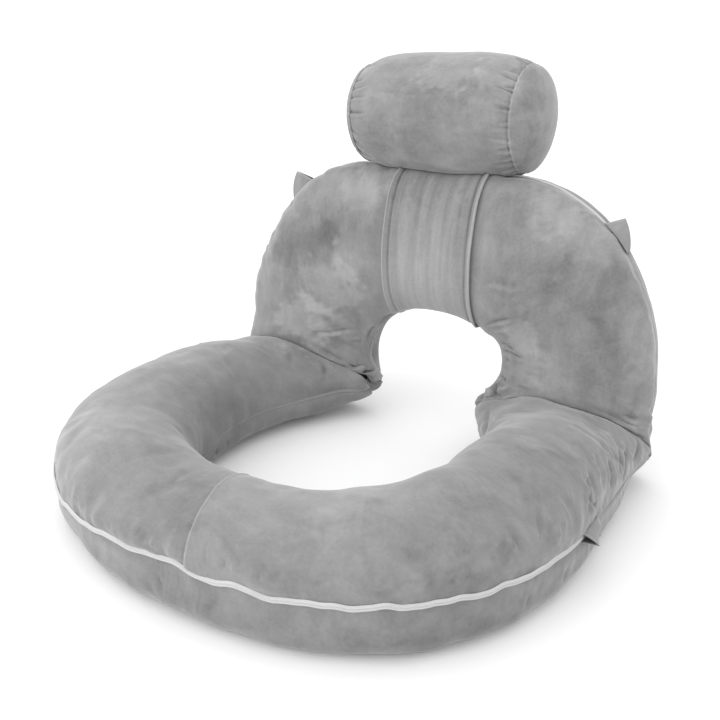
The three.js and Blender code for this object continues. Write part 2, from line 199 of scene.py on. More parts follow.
SEAM_HOLD = 3.5  # relief fades out this near a seam
BUNCH_HOLD = 12  # and so does a bunch of the belly
STROKES = Values(pitch=12, wander=14, bend=40, mean=0.5, seed=500)
STROKE_LUMPS = table("size rise seed", (150, 0.6, 500))  # stretches where the strokes show
LUMPS = table("size rise seed", (190, 1.4, 0), (85, 0.9, 1), (38, 0.35, 2))
LUMP_WAVES = Values(count=20, lengths=(0.7, 1.5))
RIPPLE_WAVES = Values(count=9, rates=(0.55, 1.6))
PUCKERS = table("pitch reach rise", (13, 9, 0.8), (30, 26, 1.2), (62, 60, 1.0))
PUCKER_SEEDS = Values(crown=100, belly=200, inner=400)
PUCKER_STRETCH = Values(mean=0.55, swing=0.45, pitches=7, seed=50)  # strong and weak stretches of a seam
STRAP_MARGIN = 4  # relief stays off the band that the strap covers
STRAP_FADE = 18
RIDGE = Values(share=0.45, spread=1.4)  # the low ridge beside a trough
# A crease is drawn deeper by its gain, and is painted darker by its tone for each millimetre, a painted
# shade in its trough and a painted highlight on its ridge.
# Its reach, its tip and the place of the ridge beside it are so many half-widths
CREASE = Values(gain=1.35, tone=0.1, steps=60, ends=0.3, reach=5, tip=2, ridge_at=2.2)
WRINKLE = Values(lengths=(0.4, 1.2), bow=0.25, depths=(0.5, 1.5), widths=(2.0, 3.6))

# How the filling is plumped up in the simulation, on a coarser grid than the cover's
PLUMP = Values(
    pressure=4.0, growth=-0.035, frames=20, stations=200, crown_steps=36, belly_steps=20, cap=5.0,
    mean_rounds=14, smooth_rounds=3, share=0.5,
)

# Creases, listed one by one: depth (a ridge where below 0), half-width, and a path of (travel, across)
SEAT_CREASES = table(
    "depth width path",
    (5.4, 3.8, [(0.93, 0.66), (0.889, 0.78), (0.845, 0.91), (0.826, 0.96)]),
    (4.8, 3.6, [(0.95, 0.8), (0.9, 0.91), (0.83, 0.98), (0.815, 1.0)]),
    (4.6, 3.4, [(0.82, 0.75), (0.763, 0.88), (0.755, 0.95), (0.737, 0.985)]),
    (4.4, 3.2, [(0.86, 0.82), (0.826, 0.91), (0.77, 0.99)]),
    (4.2, 3.6, [(0.985, 0.88), (0.944, 0.95), (0.885, 0.99)]),
    (4.2, 3.4, [(0.665, 0.78), (0.652, 0.9), (0.65, 0.96)]),
    (3, 2.6, [(0.648, 0.93), (0.656, 0.97), (0.672, 0.998)]),
    (-2.6, 6, [(0.82, 0.24), (0.778, 0.36), (0.778, 0.58), (0.789, 0.85)]),
    (-2, 7, [(0.64, 0.1), (0.652, 0.24), (0.66, 0.66)]),
    (-2.6, 3, [(0.602, 0.74), (0.59, 0.85), (0.597, 0.98)]),
    (-2.6, 2.8, [(0.587, 0.84), (0.583, 0.9), (0.579, 0.985)]),
    (-2.2, 2.8, [(0.57, 0.86), (0.568, 0.94), (0.567, 1.0)]),
    (-3.4, 4, [(0.49, 0.6), (0.512, 0.8), (0.517, 0.93), (0.516, 0.99)]),
    (2.8, 4, [(0.49, 0.78), (0.503, 0.9), (0.503, 0.985)]),
    (-2.8, 3.5, [(0.51, 0.72), (0.525, 0.87), (0.538, 0.985)]),
    (1.8, 2.6, [(0.385, 0.998), (0.393, 0.965), (0.404, 0.9)]),
    (1.3, 2.4, [(0.404, 0.993), (0.409, 0.965), (0.418, 0.965), (0.425, 0.993)]),
    (2.4, 4, [(0.07, 0.58), (0.084, 0.78), (0.11, 0.91), (0.118, 0.975)]),
    (1.5, 2.4, [(0.058, 0.8), (0.064, 0.92), (0.067, 0.99)]),
    (1.4, 2.4, [(0.08, 0.84), (0.088, 0.94), (0.09, 0.99)]),
    (1.5, 2.4, [(0.145, 0.84), (0.136, 0.94), (0.134, 0.99)]),
    (-1.4, 6, [(-0.13, -0.4), (-0.11, -0.52), (-0.05, -0.62)]),
    (-0.8, 8, [(-0.285, 0.88), (-0.29, 0.72), (-0.335, 0.34)]),
    (0.8, 7, [(-0.25, 0.9), (-0.255, 0.74), (-0.3, 0.36)]),
    (4.5, 4, [(-0.99, -0.5), (-0.965, -0.72), (-0.925, -0.9)]),
    (2.6, 4.5, [(-0.975, -0.2), (-0.93, -0.45), (-0.87, -0.7)]),
    (-3.6, 6, [(0.96, -0.5), (0.86, -0.72), (0.785, -0.88)]),
    (3, 5, [(0.97, -0.76), (0.89, -0.88), (0.8, -0.96)]),
    belly=False,
)
SEAT_CREASES += table(
    "depth width path",
    (3.5, 4, [(-0.55, -1.0), (-0.552, -0.985), (-0.55, -0.96)]),
    (3, 3.5, [(-0.6, -1.0), (-0.605, -0.985), (-0.6, -0.96)]),
    (2.6, 4, [(0.004, 1.0), (0.008, 0.998), (0.014, 0.99)]),
    (2.4, 4, [(0.082, 1.0), (0.072, 0.998), (0.062, 0.99)]),
    (2.2, 4, [(0.14, 1.0), (0.143, 0.996), (0.146, 0.985)]),
    (2.2, 4, [(0.52, 1.0), (0.515, 0.996), (0.508, 0.985)]),
    (2.2, 4, [(0.6, 1.0), (0.593, 0.996), (0.585, 0.985)]),
    belly=True,
)
BACK_CREASES = table(
    "depth width path",
    (4.2, 2.2, [(-0.31, -0.88), (-0.351, -0.61), (-0.372, -0.42)]),
    (2.4, 2.4, [(-0.21, -0.3), (-0.22, -0.26), (-0.291, -0.13), (-0.32, -0.08)]),
    (-2.2, 2.4, [(-0.22, -0.36), (-0.232, -0.3), (-0.3, -0.22), (-0.34, -0.16)]),
    (-2.2, 2.2, [(-0.29, -0.36), (-0.317, -0.26), (-0.364, -0.13), (-0.39, -0.06)]),
    (1.8, 3, [(-0.364, -0.13), (-0.395, -0.26), (-0.416, -0.4)]),
    (-2, 2.4, [(-0.38, -0.86), (-0.386, -0.8), (-0.424, -0.59)]),
    (4.2, 2.2, [(-0.45, -0.9), (-0.467, -0.85), (-0.517, -0.75), (-0.54, -0.66)]),
    (3.6, 2.2, [(-0.495, -0.93), (-0.509, -0.86), (-0.573, -0.66), (-0.6, -0.5)]),
    (1.6, 5, [(-0.515, -0.34), (-0.531, -0.26), (-0.63, -0.18)]),
    (3, 2.4, [(-0.66, -0.92), (-0.685, -0.87), (-0.75, -0.76), (-0.818, -0.66)]),
    (2, 5, [(-0.8, -0.54), (-0.855, -0.44), (-0.98, -0.2)]),
    (1.5, 5, [(-0.66, -0.4), (-0.722, -0.26), (-0.88, -0.03)]),
    (4.4, 2.4, [(-0.9, 0.69), (-0.866, 0.83), (-0.83, 0.9)]),
    (-2.6, 2.6, [(-0.985, 0.72), (-0.95, 0.84), (-0.88, 0.94)]),
    (5, 2.6, [(-1.0, 0.84), (-0.99, 0.9), (-0.976, 0.97)]),
    (3, 2.8, [(0.72, -0.3), (0.685, -0.49), (0.614, -0.73), (0.55, -0.92)]),
    (1.8, 6, [(0.86, -0.44), (0.79, -0.7), (0.7, -0.92)]),
    (3.2, 3, [(1.0, -0.66), (0.99, -0.76), (0.965, -0.88)]),
    (2.6, 4, [(0.99, -0.72), (0.91, -0.88), (0.82, -0.985)]),
    (3.4, 2.8, [(0.44, -0.99), (0.5, -0.97), (0.58, -0.965), (0.65, -0.99)]),
    (8, 3, [(1.0, -0.88), (0.95, -0.95), (0.88, -1.0)]),
    (7, 2.6, [(0.97, -0.8), (0.92, -0.89), (0.84, -0.97)]),
    (-4, 4, [(0.99, -0.84), (0.935, -0.92), (0.86, -0.985)]),
    (7.5, 2.6, [(-0.72, -0.94), (-0.8, -0.87), (-0.9, -0.77), (-0.98, -0.7)]),
    (-4.5, 3.4, [(-0.78, -0.97), (-0.866, -0.88), (-0.94, -0.8), (-1, -0.75)]),
    (5, 2.8, [(-0.85, -0.99), (-0.92, -0.91), (-1.0, -0.83)]),
    belly=False,
)
BACK_CREASES += table(
    "depth width path",
    (7, 3, [(0.88, -1.0), (0.85, -0.985), (0.78, -0.95)]),
    (6, 3, [(0.96, -1.0), (0.92, -0.98), (0.86, -0.9)]),
    (2.4, 6, [(-0.62, 0.97), (-0.66, 0.8), (-0.75, 0.5)]),
    (2.4, 6, [(0.6, 0.97), (0.66, 0.78), (0.72, 0.4)]),
    (2.2, 7, [(-0.4, -0.97), (-0.44, -0.7), (-0.42, -0.3)]),
    (2.2, 7, [(0.42, -0.97), (0.46, -0.72), (0.5, -0.35)]),
    belly=True,
)
# Fields of small wrinkles: how many, where they start, how far they run in travel and across, and how deep
SEAT_WRINKLES = table(
    "count travel across run depth seed",
    (26, (0.52, 0.95), (0.9, 1.0), (0.03, -0.2), 1.5, 301),
    (22, (0.66, 0.96), (0.5, 0.9), (0.05, -0.16), 1.1, 302),
    (30, (-0.15, 0.5), (0.985, 1.0), (0.006, -0.09), 1.2, 303),
    (16, (-0.98, -0.7), (-0.9, 0.6), (0.06, -0.2), 1.1, 304),
    (12, (-0.6, -0.2), (-0.98, -0.8), (0.03, 0.25), 0.6, 305),
)
BACK_WRINKLES = table(
    "count travel across run depth seed",
    (18, (-0.97, -0.55), (-0.95, -0.3), (-0.06, 0.2), 1.1, 311),
    (14, (-0.97, -0.6), (0.6, 0.98), (0.05, 0.14), 1.1, 312),
    (18, (-0.5, 0.5), (0.97, 1.0), (0.015, -0.16), 1.0, 313),
    (14, (0.55, 0.97), (-0.95, -0.4), (0.06, 0.2), 1.1, 314),
)
# Places where the cloth bunches up or draws in, on the belly alone or all round: how far it stands out
SEAT_BUNCHES = table(
    "travel across size rise belly",
    (-0.985, -1.0, 30, 16, False),
    (0.94, -0.97, 48, 9, False),
    (0.97, 1.0, 75, -9, True),
    (-0.9, -0.95, 75, 22, True),
)
BACK_BUNCHES = table(
    "travel across size rise belly",
    (0.93, -1.0, 44, 27, False),
    (-0.93, -0.97, 34, 13, False),
    (-0.27, 0.95, 110, 4, True),
    (0.13, 0.95, 80, 4, True),
)

# Patches where the velvet's pile lies brushed one way: place in the frame, size, how much lighter, and edge
CRISP = 0.26
SOFT = 0.5
SOFTER = 0.6
FADED = 0.9
BRUSHED_AND_PAINTED_SHEEN = table(
    "place size lift soft",
    ((-212, 172, 178), 48, 1.2, CRISP),
    ((-160, 182, 240), 52, 1.1, CRISP),
    ((-124, 187, 288), 30, 0.6, CRISP),
    ((-120, 213, 408), 42, 0.8, SOFT),
    ((-77, 224, 424), 30, 0.5, CRISP),
    ((-228, 190, 322), 65, -0.5, CRISP),
    ((-133, 190, 340), 42, -0.3, SOFTER),
    ((218, 235, 410), 45, 0.7, CRISP),
    ((269, 235, 379), 42, 0.5, CRISP),
    ((282, 212, 314), 55, -0.35, CRISP),
    ((333, 213, 248), 40, -0.3, CRISP),
    ((145, 211, 385), 35, -0.4, CRISP),
    ((200, 200, 185), 45, 0.3, CRISP),
    ((368, 238, 230), 46, 0.8, SOFTER),
    ((5, 227, 416), 42, -0.4, CRISP),
    ((-206, -191, 142), 95, 0.25, CRISP),
    ((-226, 20, 140), 60, 0.3, CRISP),
    ((129, -267, 138), 70, 0.35, CRISP),
    ((196, -239, 143), 60, 0.3, CRISP),
    ((9, -338, 130), 50, -0.5, CRISP),
    ((16, -384, 52), 32, -0.45, SOFTER),
    ((84, -380, 56), 26, -0.45, SOFTER),
    ((318, -87, 152), 100, -0.15, CRISP),
    ((298, -218, 141), 80, -0.1, CRISP),
    ((375, -40, 110), 80, -0.35, CRISP),
    ((330, -250, 45), 80, -0.5, CRISP),
    ((-225, -307, 128), 55, 0.6, SOFTER),
    ((-197, -17, 91), 50, -0.4, SOFTER),
    ((187, 199, 216), 30, 0.7, CRISP),
    ((238, 189, 168), 36, 0.5, SOFT),
    ((313, 198, 204), 42, -0.35, SOFT),
    ((-163, 187, 172), 34, 0.5, SOFT),
    ((27, 239, 599), 42, 0.8, CRISP),
    ((109, 240, 600), 36, 0.7, CRISP),
    ((32, 205, 538), 85, -0.1, CRISP),
    ((-86, 222, 472), 55, -0.3, CRISP),
    ((158, 300, 527), 60, 0.35, CRISP),
    ((152, 255, 545), 24, -0.6, CRISP),
    ((152, 262, 490), 26, -0.5, CRISP),
    ((40, 212, 470), 70, 0.35, CRISP),
    rag=1,
)
# A painted sheen, lighter on the lower strap, without a ragged edge
BRUSHED_AND_PAINTED_SHEEN += table("place size lift soft", ((15, 195, 225), 105, 1.9, FADED), rag=0)
BRUSH_RAGS = table("size rise seed", (36, 0.2, 91), (12, 0.1, 92))
LOW_PAINTED_SHADE = Values(height=62, lift=-0.7)  # painted shade: darker low on the sides, near the floor
DARK_PILE = (0.1, 0.098, 0.099, 1)
LIGHT_PILE = (0.36, 0.358, 0.358, 1)
MIDDLE_TONE = 0.5
TONE_SPAN = 2  # times a velvet's calm, from the middle tone to the dark pile or the light one
GRAIN_SHARE = 0.18
ZIP_TONES = (0.44, 0.58)

# Stage, light and camera
PHOTO_SIZE = 720
SENSOR_WIDTH = 36
CAMERA = Values(
    azimuth=34.675, elevation=20.387, distance=1244.5, focal_px=815.65, target=(-9.3, 55.0, 178.7),
)
FLOOR = Values(reach=12000, tone=0.86, glow=0.04)
KEY = Values(place=(-900, -2300, 1100), target=(0, 100, 200), size=1600, power=6)
SKY = Values(base=1.27, slope=0.5, towards=(-0.68, -0.48, 0.56))  # brighter towards one side


# Small helpers
def changed(values, **changes):
    return Values(**{**vars(values), **changes})


def lerp(a, b, t):
    return a + (b - a) * t


def smoothstep(x, low, high):
    t = np.clip((x - low) / (high - low), 0, 1)
    return t * t * (3 - 2 * t)


def bell(x, spread):
    return np.exp(-((x / spread) ** 2))


def pinch(x, spread):
    """A narrow peak with a crisp top."""
    round_top = 0.2
    return np.exp(round_top - np.sqrt((x / spread) ** 2 + round_top**2))


def trough(x, width, ridge_at):
    """A crisp trough with a low ridge on one side of it."""
    return RIDGE.share * bell(x - ridge_at * width, RIDGE.spread * width) - pinch(x, width)


def raised(rows, x):
    """The height of a row of humps at each place."""
    return sum(row.rise * bell(x - row.at, row.spread) for row in rows)


def unit(vectors):
    return vectors / np.maximum(np.linalg.norm(vectors, axis=-1, keepdims=True), 1e-9)


def running(points, axis=0):
    """How far each point lies from the first one, along an axis of a grid."""
    steps = np.linalg.norm(np.diff(points, axis=axis), axis=-1)
    return np.insert(np.cumsum(steps, axis=axis), 0, 0, axis=axis)


# Shape of a cushion
def outline_at(outline, share):
    """x and y on a horseshoe: a superellipse from its closed end (share 0), then an arm to the fold."""
    angle = np.clip(share / ARC_SHARE, 0, 1) * (math.pi / 2)
    along = np.clip((share - ARC_SHARE) / (1 - ARC_SHARE), 0, 1)
    power = 2 / outline.squareness
    on_arc = share < ARC_SHARE
    arc_x = outline.half_width * np.sin(angle) ** power
    arc_y = -outline.arm - outline.reach * np.abs(np.cos(angle)) ** power
    arm_x = lerp(outline.half_width, outline.end_half_width, along**2)
    arm_y = -outline.arm * (1 - along)
    return np.where(on_arc, arc_x, arm_x), np.where(on_arc, arc_y, arm_y)


def profile_at(profile, share, column):
    """A column of a profile at each share, smooth from row to row."""
    value = np.full(np.shape(share), float(getattr(profile[0], column)))
    for low, high in zip(profile, profile[1:]):
        change = getattr(high, column) - getattr(low, column)
        value = value + change * smoothstep(share, low.share, high.share)
    return value


def zipped_at(cushion, travel):
    """1 along the zip, fading to 0 at its ends."""
    return smoothstep(np.minimum(travel - cushion.zip_from, cushion.zip_to - travel), 0, ZIP_FADE)


def seam_lift(cushion, travel):
    """How far the outer seam stands above the seam plane: its lifts, and the uneven waves of the zip."""
    waves = sum(row.rise * np.sin(travel * row.waves * TURN + row.phase) for row in ZIP_WAVES)
    return raised(cushion.lifts, travel) + waves * zipped_at(cushion, travel)


def dent_depth(cushion, travel, across):
    return sum(
        row.depth * bell(travel - row.travel, row.along) * bell(across - row.across, row.breadth)
        for row in cushion.dents
    )


def cushion_points(cushion, travel, spot):
    """Points of a cushion in its flat frame. A spot holds across, rise, belly, swell, lip and out."""
    share = np.abs(travel)
    side = np.where(travel < 0, -1, 1)
    outwards, inwards = np.maximum(spot.across, 0), np.maximum(-spot.across, 0)
    outer_x, outer_y = outline_at(cushion.outer, share)
    inner_x, inner_y = outline_at(cushion.inner, share)
    outer_y = outer_y + cushion.crown_dip * bell(outer_x, DIP_SPREAD)
    half = np.hypot(outer_x - inner_x, outer_y - inner_y) / 2
    puff = PUFF * spot.swell * np.where(spot.across > 0, 1 - raised(cushion.taut, travel), 1)
    out = spot.out + raised(cushion.bulges, travel) * outwards
    out = out + raised(cushion.scoops, travel) * inwards
    across = spot.across * (1 + puff / half) + out / half
    place_x = (outer_x + inner_x + (outer_x - inner_x) * across) / 2
    place_y = (outer_y + inner_y + (outer_y - inner_y) * across) / 2
    aside = lerp(cushion.well_shift, cushion.rim_shift, (1 + spot.across) / 2)
    x = side * place_x + aside * smoothstep(-place_y, 0, SHIFT_REACH)

    sagging = 1 - smoothstep(-place_y, 0, SAG_REACH)
    crown = profile_at(cushion.profile, share, "crown")
    belly = profile_at(cushion.profile, share, "belly")
    past_strap = np.abs(x - STRAP.x) - STRAP.half_width
    pressed = cushion.cinch * (1 - smoothstep(past_strap, 0, CINCH_EDGE))
    sunk = 1 + SAG * np.minimum(spot.across, 0) * sagging
    arch = (crown - pressed) * sunk * spot.rise ** (SHARPNESS * sagging)
    over = spot.rise * (arch - dent_depth(cushion, travel, spot.across))
    under = (pressed - belly) * spot.rise ** (1 + cushion.belly_rounding * sagging)
    inner_rise = raised(cushion.inner_lifts, travel) - cushion.inner_drop * (1 - sagging)
    offset = seam_lift(cushion, travel) * outwards + inner_rise * inwards
    z = np.where(spot.belly, under, over) + spot.lip + offset * (1 - spot.rise)
    z = np.maximum(cushion.floor, z)

    bend = 1 - smoothstep(-place_y, 0, BEND_REACH)
    turn = cushion.twist * x * (1 - smoothstep(-place_y, 0, TWIST_REACH))
    y = place_y - CLEARANCE - FOLD_SLOPE * z * bend + turn
    return np.stack(np.broadcast_arrays(x, y, z), axis=-1)


def arc_spots(cushion, belly, edge=0.0):
    """Spots of the crown, from the outer seam to the inner one, or of the belly, from the inner one back."""
    steps = cushion.belly_steps if belly else cushion.crown_steps
    t = np.linspace(0, 1, steps)
    crowded = t - SECTION_CROWDING * np.sin(TURN * t) / TURN
    angle = lerp(edge, math.pi - edge, crowded)
    if belly:
        angle = angle[::-1]
    power = 2 / np.where(np.cos(angle) < 0, *(cushion.belly_powers if belly else cushion.crown_powers))
    rise = np.abs(np.sin(angle)) ** power
    lip = np.where(np.cos(angle) > 0, LIP.height, INNER_LIP) * (1 - rise) ** LIP.fade
    return Values(
        across=np.sign(np.cos(angle)) * np.abs(np.cos(angle)) ** power,
        rise=rise,
        belly=np.full(steps, belly),
        swell=smoothstep(np.minimum(angle, math.pi - angle), 0, SWELL_ANGLE),
        lip=-lip if belly else lip,
        out=np.zeros(steps),
    )


def seam_spot(across, lip=0.0, out=0.0):
    return Values(across=across, rise=0, belly=False, swell=0, lip=lip, out=out)


def joined_spots(*parts):
    return Values(**{key: np.hstack([vars(part)[key] for part in parts]) for key in vars(parts[0])})


def section_spots(cushion):
    """The whole section as a ring: crown, inner seam, belly, outer seam."""
    inner, outer = seam_spot(-1.0, out=-INNER_WELT), seam_spot(1.0, out=-OUTER_SINK)
    return joined_spots(arc_spots(cushion, False), inner, arc_spots(cushion, True), outer)


def spaced_travel(cushion, low, high, steps, across, crowds=()):
    """Travel values evenly spaced along a line of constant across, closer together at each crowd."""
    fine = np.linspace(low, high, FINE_STEPS)
    line = cushion_points(cushion, fine, seam_spot(across))
    lengths = np.linalg.norm(np.diff(line, axis=0), axis=1)
    density = 1 + raised(crowds, (fine[1:] + fine[:-1]) / 2)
    run = np.concatenate([[0], np.cumsum(lengths * density)])
    return np.interp(np.linspace(0, run[-1], steps + 1), run, fine)[:, None]


# Places in the frame
def seat_place(points):
    return points + np.array([0, FOLD_Y, SEAM_HEIGHT])


def back_place(points):
    """Turns the flat back about, folds it up on its end and gives it its twist."""
    x, y, z = -points[..., 0], -points[..., 1], points[..., 2]
    folded_y = y * math.cos(FOLD_ANGLE) - z * math.sin(FOLD_ANGLE)
    folded_z = y * math.sin(FOLD_ANGLE) + z * math.cos(FOLD_ANGLE)
    turned_x = x * math.cos(TWIST) - folded_y * math.sin(TWIST)
    turned_y = x * math.sin(TWIST) + folded_y * math.cos(TWIST)
    return np.stack([turned_x, turned_y + FOLD_Y, folded_z + SEAM_HEIGHT], axis=-1)


# Relief of the cloth
def lumps(points, rows, seed=0):
    """Smooth uneven relief, with humps of about the size and rise of each row."""
    count = LUMP_WAVES.count
    relief = 0
    for row in rows:
        draw = np.random.default_rng(seed + row.seed)
        directions = unit(draw.normal(size=(count, 3)))
        lengths = row.size * draw.uniform(*LUMP_WAVES.lengths, count)
        phases = draw.uniform(0, TURN, count)
        angles = points @ (directions * (TURN / lengths)[:, None]).T + phases
        relief = relief + row.rise * np.cos(angles).sum(axis=-1) * math.sqrt(2 / count)
    return relief


def ripple(run, seed, pitch):
    """Uneven waves along a line, about one every pitch, between about -1 and 1."""
    draw = np.random.default_rng(seed)
    count = RIPPLE_WAVES.count
    waves = draw.uniform(*RIPPLE_WAVES.rates, count) * TURN / pitch
    phases = draw.uniform(0, TURN, count)
    return np.cos(run[..., None] * waves + phases).sum(axis=-1) / math.sqrt(count)


def seam_puckers(run, distance, seed):
    """Gathers that start at a seam and die out away from it, stronger in some stretches than in others."""
    relief = 0
    for index, row in enumerate(PUCKERS):
        swing = ripple(run, seed + PUCKER_STRETCH.seed + index, row.pitch * PUCKER_STRETCH.pitches)
        strength = row.rise * (PUCKER_STRETCH.mean + PUCKER_STRETCH.swing * swing)
        relief = relief + strength * ripple(run, seed + index, row.pitch) * np.exp(-distance / row.reach)
    return relief


def rounded_path(path, rounds=2):
    """Cuts the corners of a path."""
    points = np.array(path, float)
    for _ in range(rounds):
        near = lerp(points[:-1], points[1:], 0.25)
        far = lerp(points[:-1], points[1:], 0.75)
        inside = np.stack([near, far], axis=1).reshape(-1, points.shape[1])
        points = np.concatenate([points[:1], inside[1:-1], points[-1:]])
    return points


def small_wrinkles(fields):
    """Short creases of the crown, drawn at random within each field, about half of them as ridges."""
    creases = []
    for field in fields:
        draw = np.random.default_rng(field.seed)
        for _ in range(field.count):
            start = np.array([draw.uniform(*field.travel), draw.uniform(*field.across)])
            run = np.array(field.run) * draw.uniform(*WRINKLE.lengths)
            bow = np.array([draw.uniform(-WRINKLE.bow, WRINKLE.bow) * run[0], 0.0])
            path = np.clip([start, start + run / 2 + bow, start + run], -1, 1)
            depth = field.depth * draw.uniform(*WRINKLE.depths) * draw.choice([-1, 1])
            creases.append(Values(depth=depth, width=draw.uniform(*WRINKLE.widths), path=path, belly=False))
    return creases


def crease_line(cushion, crease):
    """The crease's path as points of the cushion."""
    path = rounded_path(crease.path)
    share = np.linspace(0, 1, len(path))
    fine = np.linspace(0, 1, CREASE.steps)
    travel, across = (np.interp(fine, share, column) for column in path.T)
    power = np.where(across < 0, *(cushion.belly_powers if crease.belly else cushion.crown_powers))
    rise = np.clip(1 - np.abs(across) ** power, 0, 1) ** (1 / power)
    spot = Values(across=across, rise=rise, belly=crease.belly, swell=1, lip=0, out=0)
    return cushion_points(cushion, travel, spot)


def crease_relief(cloth, creases):
    """Troughs and ridges along the creases' paths, each dying out towards its ends."""
    grid = cloth.grid
    relief = np.zeros(grid.shape[:2])
    for crease in creases:
        line = crease_line(cloth.cushion, crease)
        width = crease.width
        reach = CREASE.reach * width
        in_box = np.all((grid > line.min(axis=0) - reach) & (grid < line.max(axis=0) + reach), axis=-1)
        near = in_box & (cloth.spots.belly == crease.belly)
        if not near.any():
            continue
        offsets = grid[near][:, None, :] - line
        nearest = np.einsum("ijk,ijk->ij", offsets, offsets).argmin(axis=1)
        offset = offsets[np.arange(len(nearest)), nearest]
        heading = unit(np.gradient(line, axis=0))
        aside = unit(np.cross(heading[nearest], cloth.normals[near]))
        side = np.einsum("ij,ij->i", offset, aside)
        beyond = np.linalg.norm(offset - side[:, None] * aside, axis=1)
        along = nearest / (len(line) - 1)
        ends = smoothstep(np.minimum(along, 1 - along), 0, CREASE.ends)
        shape = trough(side, width, CREASE.ridge_at) if crease.depth > 0 else -pinch(side, width)
        relief[near] += CREASE.gain * crease.depth * shape * ends * bell(beyond, CREASE.tip * width)
    return relief


def bunch_relief(cloth, bunches, from_seam):
    relief = 0
    held = 1 - np.exp(-from_seam / BUNCH_HOLD)
    for bunch in bunches:
        centre = cushion_points(cloth.cushion, np.array(bunch.travel), seam_spot(bunch.across))
        hump = bunch.rise * bell(np.linalg.norm(cloth.grid - centre, axis=-1), bunch.size)
        relief = relief + hump * (held * cloth.spots.belly if bunch.belly else 1)
    return relief


def front_seam_side(cloth):
    """Distance from the sewn line across the front of the seat, below 0 on its left side."""
    seam = np.interp(cloth.spots.across, FRONT_SEAM_PATH.across, FRONT_SEAM_PATH.travel)
    speed = np.linalg.norm(np.gradient(cloth.grid, axis=0), axis=-1) / np.gradient(cloth.travel, axis=0)
    return (cloth.travel - seam) * speed


def front_seam_relief(cloth):
    """The welt of the front seam, where one panel stands a little above the other."""
    side = front_seam_side(cloth)
    far_share = (1 + np.tanh(side / FRONT_SEAM.step)) / 2
    level = lerp(-FRONT_SEAM.near_drop, FRONT_SEAM.far_rise, far_share)
    welt = FRONT_SEAM.welt * bell(side - FRONT_SEAM.welt_width, FRONT_SEAM.welt_width)
    from_well = smoothstep(cloth.spots.across, -1, FRONT_SEAM.full_from)
    return (level * np.exp(-np.abs(side) / FRONT_SEAM.reach) + welt) * from_well * ~cloth.spots.belly


def seam_tone(cloth):
    """How much lighter the pile looks along the inner seam and the front one, with a painted highlight on
    each seam, and on either side of that.
    """
    tone = SEAM_LINE.lift * bell(cloth.from_inner, SEAM_LINE.width)
    if cloth.cushion is not SEAT:
        return tone
    side = front_seam_side(cloth)
    panel = np.where(side > 0, FRONT_SEAM_TONE.far, FRONT_SEAM_TONE.near)
    beside = panel * np.exp(-np.abs(side) / FRONT_SEAM_TONE.reach)
    line = SEAM_LINE.lift * bell(side - FRONT_SEAM.welt_width, SEAM_LINE.width)
    return tone + (beside + line) * ~cloth.spots.belly


def pile_strokes(cloth, seed):
    """Brush strokes in the pile from seam to seam, plain in some stretches and missing in others."""
    wander = STROKES.wander * np.sin(cloth.from_outer / STROKES.bend)
    strokes = ripple(cloth.run[:, [0]] + wander, seed + STROKES.seed, STROKES.pitch)
    stretches = STROKES.mean + lumps(cloth.grid, STROKE_LUMPS, seed)
    return cloth.cushion.stroke_lift * strokes * np.clip(stretches, 0, 1)


def fold_inset(cloth, seed):
    """How far a cover rolls in at its two ends, round an uneven edge."""
    from_end = np.minimum(cloth.run, cloth.run[-1:] - cloth.run)
    uneven = ripple(running(cloth.grid[0]), seed, FOLD_ROLL.pitch)
    radius = FOLD_ROLL.radius * (1 + FOLD_ROLL.unevenness * uneven)
    short = np.clip(radius - from_end, 0, radius)
    return radius - np.sqrt(radius**2 - short**2)


def cover_relief(cloth, seed, creased, bunches):
    """How far each point of a cover stands out of, or sinks into, its smooth form."""
    cushion, belly, run = cloth.cushion, cloth.spots.belly, cloth.run
    from_seam = np.minimum(cloth.from_outer, cloth.from_inner)
    relief = plump_relief(cushion, cloth.travel) + lumps(cloth.grid, LUMPS, seed)
    for part, shift in ((~belly, PUCKER_SEEDS.crown), (belly, PUCKER_SEEDS.belly)):
        outer = seam_puckers(run[:, [0]], cloth.from_outer, seed + shift)
        inner_seed = seed + shift + PUCKER_SEEDS.inner
        inner = seam_puckers(run[:, [cushion.crown_steps]], cloth.from_inner, inner_seed)
        relief = relief + (outer * cushion.pucker_share + inner) * part
    relief = relief * (1 - np.exp(-from_seam / SEAM_HOLD)) * np.where(belly, cushion.belly_share, 1)
    relief = relief + creased + bunch_relief(cloth, bunches, from_seam)
    if cushion is SEAT:
        return relief + front_seam_relief(cloth)
    past_strap = np.abs(cloth.grid[..., 0] - STRAP.x) - STRAP.half_width - STRAP_MARGIN
    return relief * smoothstep(past_strap, 0, STRAP_FADE)


# Meshes
def placed(name, data):
    """A new object in the scene."""
    made = bpy.data.objects.new(name, data)
    bpy.context.scene.collection.objects.link(made)
    return made


def new_object(name, points, faces):
    """An object from points in millimetres."""
    mesh = bpy.data.meshes.new(name)
    mesh.from_pydata((np.asarray(points) * MM).tolist(), [], faces)
    mesh.validate()
    mesh.update()
    return placed(name, mesh)


def mesh_object(name, node_name, points, faces, material, slot, tone=0.0):
    """A smooth-shaded piece of the pillow, whose pile looks lighter by a tone, which also holds painted
    light and shade.
    """
    piece = new_object(name, points, faces)
    piece.data.polygons.foreach_set("use_smooth", np.ones(len(piece.data.polygons), bool))
    piece.data.materials.append(material)
    if slot == "velvet":
        tones = piece.data.attributes.new("brushed_and_painted_light", "FLOAT", "POINT")
        tones.data.foreach_set("value", (pile_and_painted_light_tone(points) + tone).astype(np.float32))
    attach(piece, "root")
    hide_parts(node_name)
    return piece


